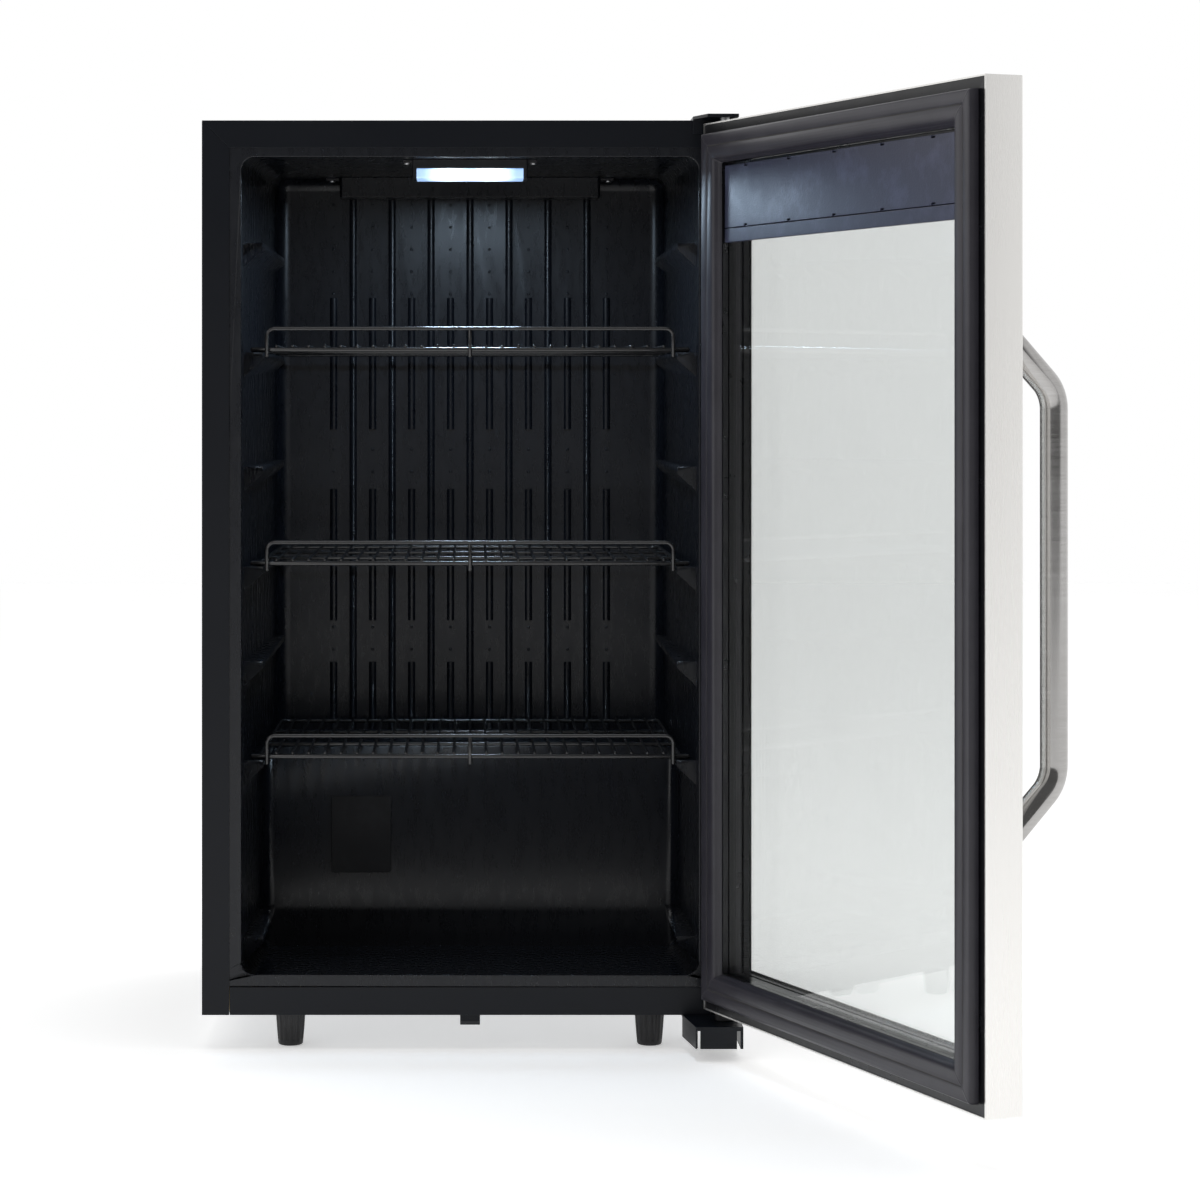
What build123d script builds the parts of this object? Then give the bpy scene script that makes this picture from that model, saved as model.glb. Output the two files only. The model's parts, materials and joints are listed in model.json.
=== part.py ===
"""Glass-door drinks cooler, its door standing open and its shelves pushed in.

Millimetres, +Z up, the front of the cabinet towards -Y. The origin is on the floor, under
the middle of the cabinet. The door turns about a vertical pin at the front right.
"""
from build123d import *
import math
import os

os.makedirs("parts", exist_ok=True)

# ---------------------------------------------------------------- driving sizes: cabinet
cabinet_width = 470
cabinet_depth = 425
cabinet_height = 784
foot_height = 30  # floor to the underside of the cabinet
sheet = 0.8  # painted steel of every outer panel
flange_width = 24  # painted flange that shows around the front
rear_flange = 12
rail_height = 24.5  # painted rail below the opening
rail_depth = 12
seam_gap = 0.3  # open seam between neighbouring sheets
base_sheet = 1.5
touch_gap = 0.2  # air between pieces that only lie next to each other

# ---------------------------------------------------------------- driving sizes: liner
liner_wall = 2
strip_sink = 1  # the liner's front strip lies this far behind the flange face
strip_thickness = 2.5
opening_side = 34.5  # cabinet edge to the liner's opening
opening_top = 32
opening_bottom = 35
opening_radius = 12
cavity_side = 34.5  # cabinet edge to the food space at its front
cavity_rear_side = 44  # the same at its rear, so the walls draw in
cavity_floor_height = 27  # underside of the cabinet to the floor of the food space
cavity_top_gap = 27  # ceiling of the food space to the top of the cabinet
rear_wall = 53  # food space to the rear panel
cavity_edge_radius = 12
cavity_rear_radius = 14
room_depth = 195  # compressor room, front to back
hump_height = 186  # floor of the food space to the top of that step
insulation = 28  # foam between the step and the compressor room
rib_radius = 4
rib_rise = 2.5
rib_pitch = 38.6
rib_count = 7
short_rib_length = 130
drain_radius = 4

# ---------------------------------------------------------------- driving sizes: shelves
low_ledge_height = 38  # floor of the food space to the lowest ledge
ledge_clearance = 7.5  # step over the compressor room to the next ledge
ledge_shares = [0, 0.163, 0.319, 0.484, 0.672, 0.853]  # their places up to the ceiling
shelf_ledges = [1, 3, 5]  # the ledges that carry a shelf
ledge_reach = 17.5  # from the front of the side wall into the food space
ledge_lip = 6
ledge_drop = 24
ledge_start = 24  # behind the cabinet front
ledge_end_gap = 21.5  # rear of a ledge to the rear wall
shelf_lift = 0.4  # air between a ledge and the shelf that slides on it
shelf_setback = 34  # cabinet front to the front wire
shelf_end_gap = 20  # rear wire to the rear wall
frame_wire = 2.2  # wire radii
cross_wire = 1.3
rail_wire = 1.8
front_wire_gap = 5.5  # its ends to the side walls
deck_gap = 5  # side wires to the narrow rear of the food space
cross_wire_count = 25
shelf_rail_inset = 15  # end of the front wire to the rail
shelf_rail_rise = 18.6
shelf_stub = 7  # the rail's legs reach this far below the front wire
shelf_rail_radius = 7

# ---------------------------------------------------------------- driving sizes: lamp and covers
lamp_width = 105
lamp_height = 17.5
lamp_depth = 42
lamp_setback = 95
lens_width = 97
lens_height = 9.5
lamp_wall = 1.5
screw_radius = 1.6
screw_head_radius = 3.4
screw_head_height = 1.6
duct_width = 255
duct_height = 20
duct_depth = 42
duct_wall = 1.5
hatch_width = 56
hatch_height = 72
hatch_thickness = 1.5
hatch_x = -102
hatch_top = 141  # above the floor of the food space

# ---------------------------------------------------------------- driving sizes: cooling plant
compressor_x = 92
compressor_radius = 62
compressor_share = 0.602  # its height, of the height of the step above it
compressor_wall = 3
compressor_lift = 12
core_gap = 5
band_height = 4  # the weld band round its middle
band_proud = 3
foot_plate_reach = 14  # its foot plate, beyond the bolts
foot_plate_edge = 12
foot_plate_sheet = 2
bolt_spacing_x = 170
bolt_spacing_y = 96
bolt_radius = 3
bolt_head = 3.5
relay_depth = 54
relay_width = 34
relay_lift = 28
relay_height = 56
grommet_radius = 9
tray_width = 130
tray_depth = 100
tray_height = 16
tray_wall = 1.5
condenser_gap = 14
condenser_side_gap = 40  # cabinet side to the condenser
condenser_passes = 10
condenser_pitch = 42
condenser_tube_radius = 2.5
condenser_wire_radius = 0.8
condenser_wire_pitch = 9
tube_radius = 3
capillary_radius = 1
drier_radius = 8
drier_length = 90
drain_tube_radius = 7
terminal_width = 70
terminal_height = 48
terminal_setback = 12  # in front of the rear edge
gland_radius = 9
cord_radius = 3.6
clip_block_half = 8
clip_block_rise = 6
wire_overhang = 8

# ---------------------------------------------------------------- driving sizes: door
door_open_angle = 112
door_top_drop = 4.6  # top of the door below the top of the cabinet
door_bottom_rise = 8.5  # bottom of the door above the underside of the cabinet
door_thickness = 32.5
door_gap = 9  # cabinet front to the inner face of the closed door
pin_side_inset = 13.5
pin_depth = 14  # inner face of the door to the pin
pin_radius = 4
running_fit = 0.05
skin = 0.8  # stainless sheet around the door
skin_lip = 1.3
skin_bend = 1.6
skin_window = 38  # door edge to the window in the stainless front
frame_opening = 36  # door edge to the opening of the plastic frame
dart_inset = 20  # the gasket's root sits in a groove of the frame
dart_width = 3
dart_depth = 3
glass_inset = 27
inner_glass_depth = 6
inner_glass = 3.2
outer_glass = 4
glass_space = 12
spacer_inset = 35.5
gasket_outer = 9.7
gasket_inner = 36
gasket_height = 8.5
magnet_inset = 14.5
magnet_width = 8
magnet_thickness = 2.5
header_gap = 3
header_height = 66
header_trim_height = 12
header_side_gap = 3
header_wall = 1.2
header_proud = 4.6
notch_count = 5
notch_pitch = 78.5
notch_width = 6
notch_height = 2.4
bush_radius = 7
bush_length = 19
pin_reach = 15  # into the door at each end
handle_radius = 10.5
handle_wall = 1.2
handle_span = 383  # between the two places where it meets the door
handle_standoff = 45
handle_bend = 30
handle_inset = 30  # free edge of the door to the handle
handle_above_middle = 4
handle_plug = 24
handle_screw_radius = 2.5
handle_screw_head = 4.5
handle_head_height = 3
handle_screw_reach = 10

# ---------------------------------------------------------------- driving sizes: hinges and feet
hinge_plate = 3
hinge_screw_radius = 2
hinge_screw_head = 4.5
hinge_screw_head_height = 2.2
top_screws_behind_front = (14, 36)
bottom_screws_inset = (12, 36)  # cabinet side to each screw
bottom_screws_behind_front = 30
hinge_bracket_half_inset = 2  # cabinet side to the bracket
top_bracket_width = 38
top_bracket_tab = 9
top_bracket_rear = 48
top_bracket_front = 10  # beyond the pin
stop_tab_drop = 12
stop_tab_gap = 1.5
bottom_bracket_front = 54  # in front of the cabinet
bottom_bracket_rear = 46
bottom_bracket_width = 49
bottom_bracket_taper = 8
bottom_bracket_drop = 19
bracket_sheet = 2.5
spacer_radius = 9
foot_top_radius = 13.2
foot_bottom_radius = 11
foot_inset = 76.5  # cabinet side to the middle of a foot
foot_setback = 25
foot_flutes = 14
stud_radius = 4
stud_length = 20
foot_boss_radius = 8
foot_boss_height = 18
rear_foot_radius = 14
rear_foot_inset = 40
clip_width = 17.5
clip_height = 10
clip_depth = 14
clip_sheet = 1.2
clip_setback = 4

# ---------------------------------------------------------------- derived places
x_side = cabinet_width / 2
y_front = -cabinet_depth / 2
y_rear = cabinet_depth / 2
z_base = foot_height
z_top = z_base + cabinet_height
x_inside = x_side - sheet
y_inside = y_rear - 2 * sheet  # front face of the rear panel
z_inside = z_top - sheet
opening_half = x_side - opening_side
opening_low = z_base + opening_bottom
opening_high = z_top - opening_top
strip_front = y_front + strip_sink
cavity_front = strip_front + strip_thickness
cavity_back = y_inside - rear_wall
cavity_half = x_side - cavity_side
cavity_rear_half = x_side - cavity_rear_side
cavity_floor = z_base + cavity_floor_height
cavity_ceiling = z_top - cavity_top_gap
hump_top = cavity_floor + hump_height
room_front = y_rear - room_depth  # the compressor room
hump_front = room_front - liner_wall - insulation
room_roof = hump_top - liner_wall - insulation
room_middle = (room_front + y_rear) / 2
first_ledge = hump_top + ledge_clearance
ledge_tops = [cavity_floor + low_ledge_height] + [
    first_ledge + share * (cavity_ceiling - first_ledge) for share in ledge_shares
]
ledge_inner = cavity_half - ledge_reach
front_wire_half = cavity_half - front_wire_gap
deck_half = cavity_rear_half - deck_gap
shelf_rail_half = front_wire_half - shelf_rail_inset
shelf_front = y_front + shelf_setback
shelf_rear = cavity_back - shelf_end_gap
foot_x = x_side - foot_inset
condenser_half = x_side - condenser_side_gap

door_width = cabinet_width
door_half = door_width / 2
door_low = z_base + door_bottom_rise
door_high = z_top - door_top_drop
door_height = door_high - door_low
pin_x = x_side - pin_side_inset
pin_y = y_front - door_gap - pin_depth
pin_across = door_half - pin_side_inset  # the pin in the door's own axes

turn = math.radians(door_open_angle)
door_origin = (
    pin_x - pin_x * math.cos(turn) - pin_depth * math.sin(turn),
    pin_y - pin_x * math.sin(turn) + pin_depth * math.cos(turn),
    door_low,
)
# the door's own axes: x from its free edge to its hinge edge, y up, z out through its front
door_plane = Plane(
    origin=door_origin,
    x_dir=(math.cos(turn), math.sin(turn), 0),
    z_dir=(math.sin(turn), -math.cos(turn), 0),
)


# ---------------------------------------------------------------- helpers
def slab(low, high, mode=Mode.ADD):
    """A box between two opposite corners, in the axes of the sub-part being built."""
    middle = tuple((a + b) / 2 for a, b in zip(low, high))
    with Locations(middle):
        Box(*(b - a for a, b in zip(low, high)), mode=mode)


def rod(start, end, radius, mode=Mode.ADD):
    """A round bar between two points, in the axes of the sub-part being built."""
    direction = Vector(*end) - Vector(*start)
    with Locations(Plane(origin=start, z_dir=direction).location):
        Cylinder(
            radius,
            direction.length,
            align=(Align.CENTER, Align.CENTER, Align.MIN),
            mode=mode,
        )


def pane(inset, low, high, mode=Mode.ADD):
    """A slab over the door, held back from its edge by inset, between two depths."""
    slab(
        (-door_half + inset, inset, low),
        (door_half - inset, door_height - inset, high),
        mode,
    )


def ring(outer, inner, low, high, mode=Mode.ADD):
    """Four bars around the door, between two insets from its edge and two depths."""
    for side in (-1, 1):
        near = side * (door_half - inner)
        far = side * (door_half - outer)
        slab((min(near, far), outer, low), (max(near, far), door_height - outer, high), mode)
    for y in (outer, door_height - inner):
        slab((-door_half + inner, y, low), (door_half - inner, y + inner - outer, high), mode)


def bent_tube(points, bend, radius):
    """A tube along straight runs joined by arcs of one bend radius, in the cabinet's axes."""
    with BuildPart() as tube:
        with BuildLine() as path:
            FilletPolyline(*points, radius=bend)
        start = path.line @ 0
        with BuildSketch(Plane(origin=start, z_dir=path.line % 0)):
            Circle(radius)
        sweep()
    return tube.part


def save(part, name):
    part.label = name
    export_step(part, f"parts/{name}.step")


# ---------------------------------------------------------------- outer cabinet
def side_panel(side):
    """One side sheet with its front flange, mitred at the top, and its rear flange."""
    edge = side * x_side
    inner = side * (x_side - flange_width)
    mitre = z_top - flange_width
    with BuildPart() as panel:
        slab(
            (min(edge, edge - side * sheet), y_front, z_base),
            (max(edge, edge - side * sheet), y_rear, z_inside - touch_gap),
        )
        with BuildSketch(Plane.XZ.offset(-y_front)):
            with BuildLine():
                Polyline(
                    (edge, z_base),
                    (inner, z_base),
                    (inner, mitre - seam_gap),
                    (edge, z_top - seam_gap),
                    close=True,
                )
            make_face()
        extrude(amount=-sheet)
        lip = side * (x_side - rear_flange)
        slab(
            (min(edge, lip), y_rear - sheet, z_base),
            (max(edge, lip), y_rear, z_inside - touch_gap),
        )
        # trimmed under the top panel
        slab((-x_side, y_front, z_inside - touch_gap), (x_side, y_rear, z_top), Mode.SUBTRACT)
    return panel.part


save(side_panel(-1), "left_side_panel")
save(side_panel(1), "right_side_panel")

with BuildPart() as top_panel:
    slab((-x_side, y_front, z_inside), (x_side, y_rear, z_top))
    with BuildSketch(Plane.XZ.offset(-y_front)):
        with BuildLine():
            Polyline(
                (-x_side, z_top),
                (x_side, z_top),
                (x_side - flange_width, z_top - flange_width),
                (-x_side + flange_width, z_top - flange_width),
                close=True,
            )
        make_face()
    extrude(amount=-sheet)
    slab((-x_side + rear_flange, y_rear - sheet, z_top - rear_flange), (x_side - rear_flange, y_rear, z_top))
save(top_panel.part, "top_panel")

with BuildPart() as rear_panel:
    slab(
        (-x_inside + touch_gap, y_inside, room_roof - sheet),
        (x_inside - touch_gap, y_rear - sheet, z_inside - touch_gap),
    )
save(rear_panel.part, "rear_panel")

rail_half = x_side - flange_width - seam_gap
with BuildPart() as bottom_front_rail:
    slab((-rail_half, y_front, z_base), (rail_half, y_front + rail_depth, z_base + rail_height))
    slab(
        (-rail_half, y_front + sheet, z_base + sheet),
        (rail_half, y_front + rail_depth, z_base + rail_height - sheet),
        Mode.SUBTRACT,
    )
save(bottom_front_rail.part, "bottom_front_rail")

foot_y = y_front + foot_setback
front_feet = [(-foot_x, foot_y), (foot_x, foot_y)]
boss_top = z_base + foot_boss_height
with BuildPart() as base_pan:
    slab(
        (-x_inside, y_front + rail_depth + touch_gap, z_base),
        (x_inside, room_front, z_base + base_sheet),
    )
    with Locations(*[(x, y, z_base) for x, y in front_feet]):
        Cylinder(foot_boss_radius, foot_boss_height, align=(Align.CENTER, Align.CENTER, Align.MIN))
    with Locations(*[(x, y, z_base) for x, y in front_feet]):
        Cylinder(
            stud_radius + running_fit,
            foot_boss_height - base_sheet,
            align=(Align.CENTER, Align.CENTER, Align.MIN),
            mode=Mode.SUBTRACT,
        )
save(base_pan.part, "base_pan")

bolt_places = [
    (compressor_x + dx * bolt_spacing_x / 2, room_middle + dy * bolt_spacing_y / 2)
    for dx in (-1, 1)
    for dy in (-1, 1)
]
with BuildPart() as compressor_deck:
    slab((-x_inside, room_front + touch_gap, z_base), (x_inside, y_inside, z_base + base_sheet))
    with Locations(*[(x, y, z_base) for x, y in bolt_places]):
        Cylinder(bolt_radius + touch_gap, 4 * base_sheet, mode=Mode.SUBTRACT)
save(compressor_deck.part, "compressor_deck")

drain_y = cavity_back - 24
suction_x = compressor_x - compressor_radius / 2
suction_y = room_middle - compressor_radius - 10
pass_throughs = [
    (0, drain_y, drain_tube_radius),
    (suction_x, suction_y, tube_radius),
    (-condenser_half, room_middle, capillary_radius),
]
tube_top = room_roof + insulation / 2  # the cooling tubes end inside the foam

with BuildPart() as compartment_panel:
    slab((-x_inside, room_front, z_base + base_sheet), (x_inside, y_inside, room_roof))
    slab(
        (-x_inside, room_front + sheet, z_base + base_sheet),
        (x_inside, y_inside, room_roof - sheet),
        Mode.SUBTRACT,
    )
    for x, y, radius in pass_throughs:
        rod((x, y, room_roof - 2 * sheet), (x, y, room_roof + sheet), radius + touch_gap, Mode.SUBTRACT)
save(compartment_panel.part, "compartment_panel")


# ---------------------------------------------------------------- liner and insulation
def cavity_block(grow):
    """The food space as a solid, with every wall moved outwards by grow."""
    low = cavity_floor - grow
    with BuildPart() as block:
        with BuildSketch(Plane.XY.offset(low)):
            with BuildLine():
                Polyline(
                    (-cavity_half - grow, cavity_front),
                    (cavity_half + grow, cavity_front),
                    (cavity_rear_half + grow, cavity_back + grow),
                    (-cavity_rear_half - grow, cavity_back + grow),
                    close=True,
                )
            make_face()
        extrude(amount=cavity_ceiling - cavity_floor + 2 * grow)
        fillet(block.edges().filter_by(Axis.Z).sort_by(Axis.Y)[-2:], cavity_rear_radius + grow)
        ends = block.faces().filter_by(Axis.Z)
        rims = [e for e in ends.edges() if e.center().Y > cavity_front + 1]
        fillet(rims, cavity_edge_radius + grow)
        slab(
            (-x_side, hump_front + grow, low - 1),
            (x_side, y_rear, hump_top - grow),
            Mode.SUBTRACT,
        )
    return block.part


def ledge_prism(side, top):
    """The space that one moulded ledge takes from the food space."""
    wall = side * (cavity_half + liner_wall)
    inner = side * ledge_inner
    with BuildSketch(Plane.XZ.offset(-(y_front + ledge_start))) as profile:
        with BuildLine():
            Polyline(
                (wall, top),
                (inner, top),
                (inner, top - ledge_lip),
                (wall, top - ledge_drop),
                close=True,
            )
        make_face()
    length = cavity_back - ledge_end_gap - y_front - ledge_start
    extrude(profile.sketch, amount=-length, mode=Mode.SUBTRACT)


with BuildPart() as air_space:
    add(cavity_block(0))
    for top in ledge_tops:
        for side in (-1, 1):
            ledge_prism(side, top)
    rib_y = cavity_back + rib_radius - rib_rise
    rib_low = hump_top - cavity_edge_radius
    for index in range(rib_count):
        x = (index - (rib_count - 1) / 2) * rib_pitch
        rod((x, rib_y, rib_low), (x, rib_y, cavity_ceiling - duct_height), rib_radius, Mode.SUBTRACT)
    for index in range(rib_count + 1):
        x = (index - rib_count / 2) * rib_pitch
        for shelf in shelf_ledges:
            high = ledge_tops[shelf] - ledge_lip
            low = max(high - short_rib_length / 2, rib_low)
            rod((x, rib_y, low), (x, rib_y, high + short_rib_length / 2), rib_radius, Mode.SUBTRACT)

strip_half = x_inside - touch_gap
strip_low = z_base + rail_height + seam_gap
with BuildPart() as inner_liner:
    add(cavity_block(liner_wall))
    slab((-strip_half, strip_front, strip_low), (strip_half, cavity_front, z_inside - touch_gap))
    add(air_space.part, mode=Mode.SUBTRACT)
    with BuildSketch(Plane.XZ.offset(-strip_front)):
        with Locations((0, (opening_low + opening_high) / 2)):
            RectangleRounded(2 * opening_half, opening_high - opening_low, opening_radius)
    extrude(amount=-strip_thickness, mode=Mode.SUBTRACT)
    rod((0, drain_y, hump_top - 2 * liner_wall), (0, drain_y, hump_top), drain_radius, Mode.SUBTRACT)
save(inner_liner.part, "inner_liner")

evaporator_half = cavity_rear_half - 3 * cavity_rear_radius
evaporator_front = cavity_back + liner_wall + touch_gap
evaporator_low = (-evaporator_half, evaporator_front, hump_top + insulation)
evaporator_high = (evaporator_half, evaporator_front + base_sheet, cavity_ceiling - insulation)
with BuildPart() as evaporator_plate:
    slab(evaporator_low, evaporator_high)
save(evaporator_plate.part, "evaporator_plate")

with BuildPart() as insulation_foam:
    slab((-x_inside, cavity_front, z_base + base_sheet), (x_inside, y_inside, z_inside))
    add(cavity_block(liner_wall), mode=Mode.SUBTRACT)
    slab((-x_inside, room_front, z_base), (x_inside, y_inside, room_roof), Mode.SUBTRACT)
    slab(
        (-x_inside, y_front, z_base),
        (x_inside, y_front + rail_depth + touch_gap, z_base + rail_height),
        Mode.SUBTRACT,
    )
    slab(evaporator_low, evaporator_high, Mode.SUBTRACT)
    for x, y in front_feet:
        rod((x, y, z_base), (x, y, boss_top + touch_gap), foot_boss_radius + touch_gap, Mode.SUBTRACT)
    for x, y, radius in pass_throughs:
        high = hump_top if radius == drain_tube_radius else tube_top + touch_gap
        rod((x, y, room_roof - 1), (x, y, high), radius + touch_gap, Mode.SUBTRACT)
save(insulation_foam.part, "insulation_foam")

# ---------------------------------------------------------------- lamp, duct cover, hatch
lamp_front = y_front + lamp_setback
lamp_low = cavity_ceiling - lamp_height
lamp_half = lamp_width / 2
lens_half = lens_width / 2
ear_half = lamp_half + 2.5 * screw_head_radius
with BuildPart() as lamp_housing:
    slab((-lamp_half, lamp_front, lamp_low), (lamp_half, lamp_front + lamp_depth, cavity_ceiling))
    fillet(lamp_housing.edges().filter_by(Axis.Z), 2)
    slab(
        (-ear_half, lamp_front + 4, cavity_ceiling - 2 * lamp_wall),
        (ear_half, lamp_front + 16, cavity_ceiling),
    )
    slab(
        (-lens_half, lamp_front - 1, lamp_low - 1),
        (lens_half, lamp_front + lamp_depth - lamp_wall, lamp_low + lens_height),
        Mode.SUBTRACT,
    )
    slab(
        (-lens_half, lamp_front + lamp_wall, lamp_low),
        (lens_half, lamp_front + lamp_depth - lamp_wall, cavity_ceiling - lamp_wall),
        Mode.SUBTRACT,
    )
save(lamp_housing.part, "lamp_housing")

lens_rear = lamp_front + lamp_depth - lamp_wall - touch_gap
with BuildPart() as lamp_lens:
    slab(
        (-lens_half + touch_gap, lamp_front, lamp_low),
        (lens_half - touch_gap, lens_rear, lamp_low + lens_height - touch_gap),
    )
    fillet(lamp_lens.edges().filter_by(Axis.X).sort_by(Axis.Y)[:2], 2)
    slab(
        (-lens_half + lamp_wall, lamp_front + lamp_wall, lamp_low + lamp_wall),
        (lens_half - lamp_wall, lens_rear - lamp_wall, lamp_low + lens_height),
        Mode.SUBTRACT,
    )
save(lamp_lens.part, "lamp_lens")

board_low = cavity_ceiling - lamp_wall - 2
with BuildPart() as lamp_board:
    slab(
        (-lens_half + 3, lamp_front + 4, board_low),
        (lens_half - 3, lamp_front + lamp_depth - 6, board_low + 1.6),
    )
    with Locations(*[(side * lens_width / 5, lamp_front + 12, board_low - 0.7) for side in (-1, 1)]):
        Box(6, 6, 1.4)
save(lamp_board.part, "lamp_board")

duct_front = cavity_back - duct_depth
duct_low = cavity_ceiling - duct_height
duct_half = duct_width / 2
duct_ear = duct_half + 14
with BuildPart() as ceiling_duct_cover:
    slab((-duct_half, duct_front, duct_low), (duct_half, cavity_back - cavity_edge_radius, cavity_ceiling))
    fillet(ceiling_duct_cover.edges().filter_by(Axis.Z).sort_by(Axis.Y)[:2], 3)
    slab(
        (-duct_half + duct_wall, duct_front + duct_wall, duct_low + duct_wall),
        (duct_half - duct_wall, cavity_back - cavity_edge_radius, cavity_ceiling),
        Mode.SUBTRACT,
    )
    slab(
        (-duct_ear, duct_front + 8, cavity_ceiling - 2 * duct_wall),
        (-duct_half + duct_wall, duct_front + 20, cavity_ceiling),
    )
    slab(
        (duct_half - duct_wall, duct_front + 8, cavity_ceiling - 2 * duct_wall),
        (duct_ear, duct_front + 20, cavity_ceiling),
    )
save(ceiling_duct_cover.part, "ceiling_duct_cover")

screw_places = [
    (side * (lamp_half + 1.4 * screw_head_radius), lamp_front + 10, cavity_ceiling - 2 * lamp_wall)
    for side in (-1, 1)
] + [
    (side * (duct_half + 8), duct_front + 14, cavity_ceiling - 2 * duct_wall)
    for side in (-1, 1)
]
with BuildPart() as liner_screws:
    for x, y, z in screw_places:
        rod((x, y, z), (x, y, z - screw_head_height), screw_head_radius)
        rod((x, y, z), (x, y, z + 5 * screw_head_height), screw_radius)
save(liner_screws.part, "liner_screws")

hatch_high = cavity_floor + hatch_top
with BuildPart() as hump_cover:
    slab(
        (hatch_x - hatch_width / 2, hump_front - hatch_thickness, hatch_high - hatch_height),
        (hatch_x + hatch_width / 2, hump_front, hatch_high),
    )
    fillet(hump_cover.edges().filter_by(Axis.Y), 2.5)
save(hump_cover.part, "hump_cover")

# ---------------------------------------------------------------- cooling plant
deck_top = z_base + base_sheet
compressor_height = compressor_share * hump_height
shell_low = deck_top + compressor_lift
shell_high = shell_low + compressor_height
dome = compressor_radius / 2


def compressor_profile(radius, low, high, bend):
    """Half the upright section of a domed steel can, to be turned about its axis."""
    with BuildSketch(Plane.XZ.offset(-room_middle)) as half:
        with Locations((compressor_x, (low + high) / 2)):
            RectangleRounded(2 * radius, high - low, bend)
        with Locations((compressor_x - radius, (low + high) / 2)):
            Rectangle(2 * radius, 2 * (high - low), mode=Mode.SUBTRACT)
    return half.sketch


plate_half_x = bolt_spacing_x / 2 + foot_plate_reach
plate_half_y = bolt_spacing_y / 2 + foot_plate_edge
core_low = shell_low + foot_plate_sheet + compressor_wall
compressor_axis = Axis((compressor_x, room_middle, 0), (0, 0, 1))
with BuildPart() as compressor_shell:
    revolve(compressor_profile(compressor_radius, shell_low, shell_high, dome), compressor_axis)
    with Locations((compressor_x, room_middle, (shell_low + shell_high) / 2)):
        Cylinder(compressor_radius + band_proud, band_height)
    slab(
        (compressor_x - plate_half_x, room_middle - plate_half_y, shell_low - 1),
        (compressor_x + plate_half_x, room_middle + plate_half_y, shell_low + foot_plate_sheet),
    )
    revolve(
        compressor_profile(
            compressor_radius - compressor_wall,
            core_low,
            shell_high - compressor_wall,
            dome - compressor_wall,
        ),
        compressor_axis,
        mode=Mode.SUBTRACT,
    )
    with Locations(*[(x, y, shell_low) for x, y in bolt_places]):
        Cylinder(bolt_radius + touch_gap, 8, mode=Mode.SUBTRACT)
save(compressor_shell.part, "compressor_shell")

with BuildPart() as compressor_core:
    with Locations((compressor_x, room_middle, core_low + core_gap)):
        Cylinder(
            compressor_radius * 0.62,
            compressor_height * 0.66,
            align=(Align.CENTER, Align.CENTER, Align.MIN),
        )
save(compressor_core.part, "compressor_core")

with BuildPart() as compressor_grommets:
    with Locations(*[(x, y, deck_top) for x, y in bolt_places]):
        Cylinder(
            grommet_radius,
            compressor_lift - 1,
            align=(Align.CENTER, Align.CENTER, Align.MIN),
        )
        Cylinder(bolt_radius + touch_gap, 4 * compressor_lift, mode=Mode.SUBTRACT)
save(compressor_grommets.part, "compressor_grommets")

with BuildPart() as compressor_bolts:
    for x, y in bolt_places:
        rod((x, y, z_base - bolt_head), (x, y, shell_low + 3 * bolt_head), bolt_radius)
    for low in (z_base - bolt_head - touch_gap, shell_low + foot_plate_sheet + touch_gap):
        with BuildSketch(Plane.XY.offset(low)):
            with Locations(*bolt_places):
                RegularPolygon(2 * bolt_radius, 6)
        extrude(amount=bolt_head)
save(compressor_bolts.part, "compressor_bolts")

relay_right = compressor_x - compressor_radius - band_proud - 0.5
relay_low = shell_low + relay_lift
with BuildPart() as relay_cover:
    slab(
        (relay_right - relay_width, room_middle - relay_depth / 2, relay_low),
        (relay_right, room_middle + relay_depth / 2, relay_low + relay_height),
    )
    fillet(relay_cover.edges().filter_by(Axis.X), 6)
save(relay_cover.part, "relay_cover")

tray_low = shell_high + 1
with BuildPart() as drip_tray:
    slab(
        (compressor_x - tray_width / 2, room_middle - tray_depth / 2, tray_low),
        (compressor_x + tray_width / 2, room_middle + tray_depth / 2, tray_low + tray_height),
    )
    fillet(drip_tray.edges().filter_by(Axis.Z), 10)
    offset(amount=-tray_wall, openings=drip_tray.faces().sort_by(Axis.Z)[-1])
save(drip_tray.part, "drip_tray")

drain_knee = room_roof - 2 * drain_tube_radius
drain_end = compressor_x - tray_width / 4
save(
    bent_tube(
        [
            (0, drain_y, hump_top - liner_wall - touch_gap),
            (0, drain_y, drain_knee),
            (drain_end, drain_y, drain_knee),
            (drain_end, drain_y, tray_low + tray_height / 2),
        ],
        drain_tube_radius + 1,
        drain_tube_radius,
    ),
    "drain_tube",
)

condenser_y = y_rear + condenser_gap
condenser_low = room_roof + 30
condenser_high = condenser_low + (condenser_passes - 1) * condenser_pitch
condenser_points = []
for index in range(condenser_passes):
    ends = (-condenser_half, condenser_half) if index % 2 == 0 else (condenser_half, -condenser_half)
    for x in ends:
        condenser_points.append((x, condenser_y, condenser_high - index * condenser_pitch))
condenser_exit = condenser_points[-1]
condenser_foot = (condenser_exit[0], condenser_y, room_roof - 40)
save(
    bent_tube(condenser_points + [condenser_foot], condenser_pitch / 2 - 1, condenser_tube_radius),
    "condenser_tube",
)

wire_offset = condenser_tube_radius + condenser_wire_radius
wire_columns = int((condenser_half - condenser_pitch / 2) / condenser_wire_pitch)
with BuildPart() as condenser_wires:
    for column in range(-wire_columns, wire_columns + 1):
        x = column * condenser_wire_pitch
        y = condenser_y + wire_offset * (1 if column % 2 else -1)
        ends = (condenser_low - wire_overhang, condenser_high + wire_overhang)
        rod((x, y, ends[0]), (x, y, ends[1]), condenser_wire_radius)
save(condenser_wires.part, "condenser_wires")

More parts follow.
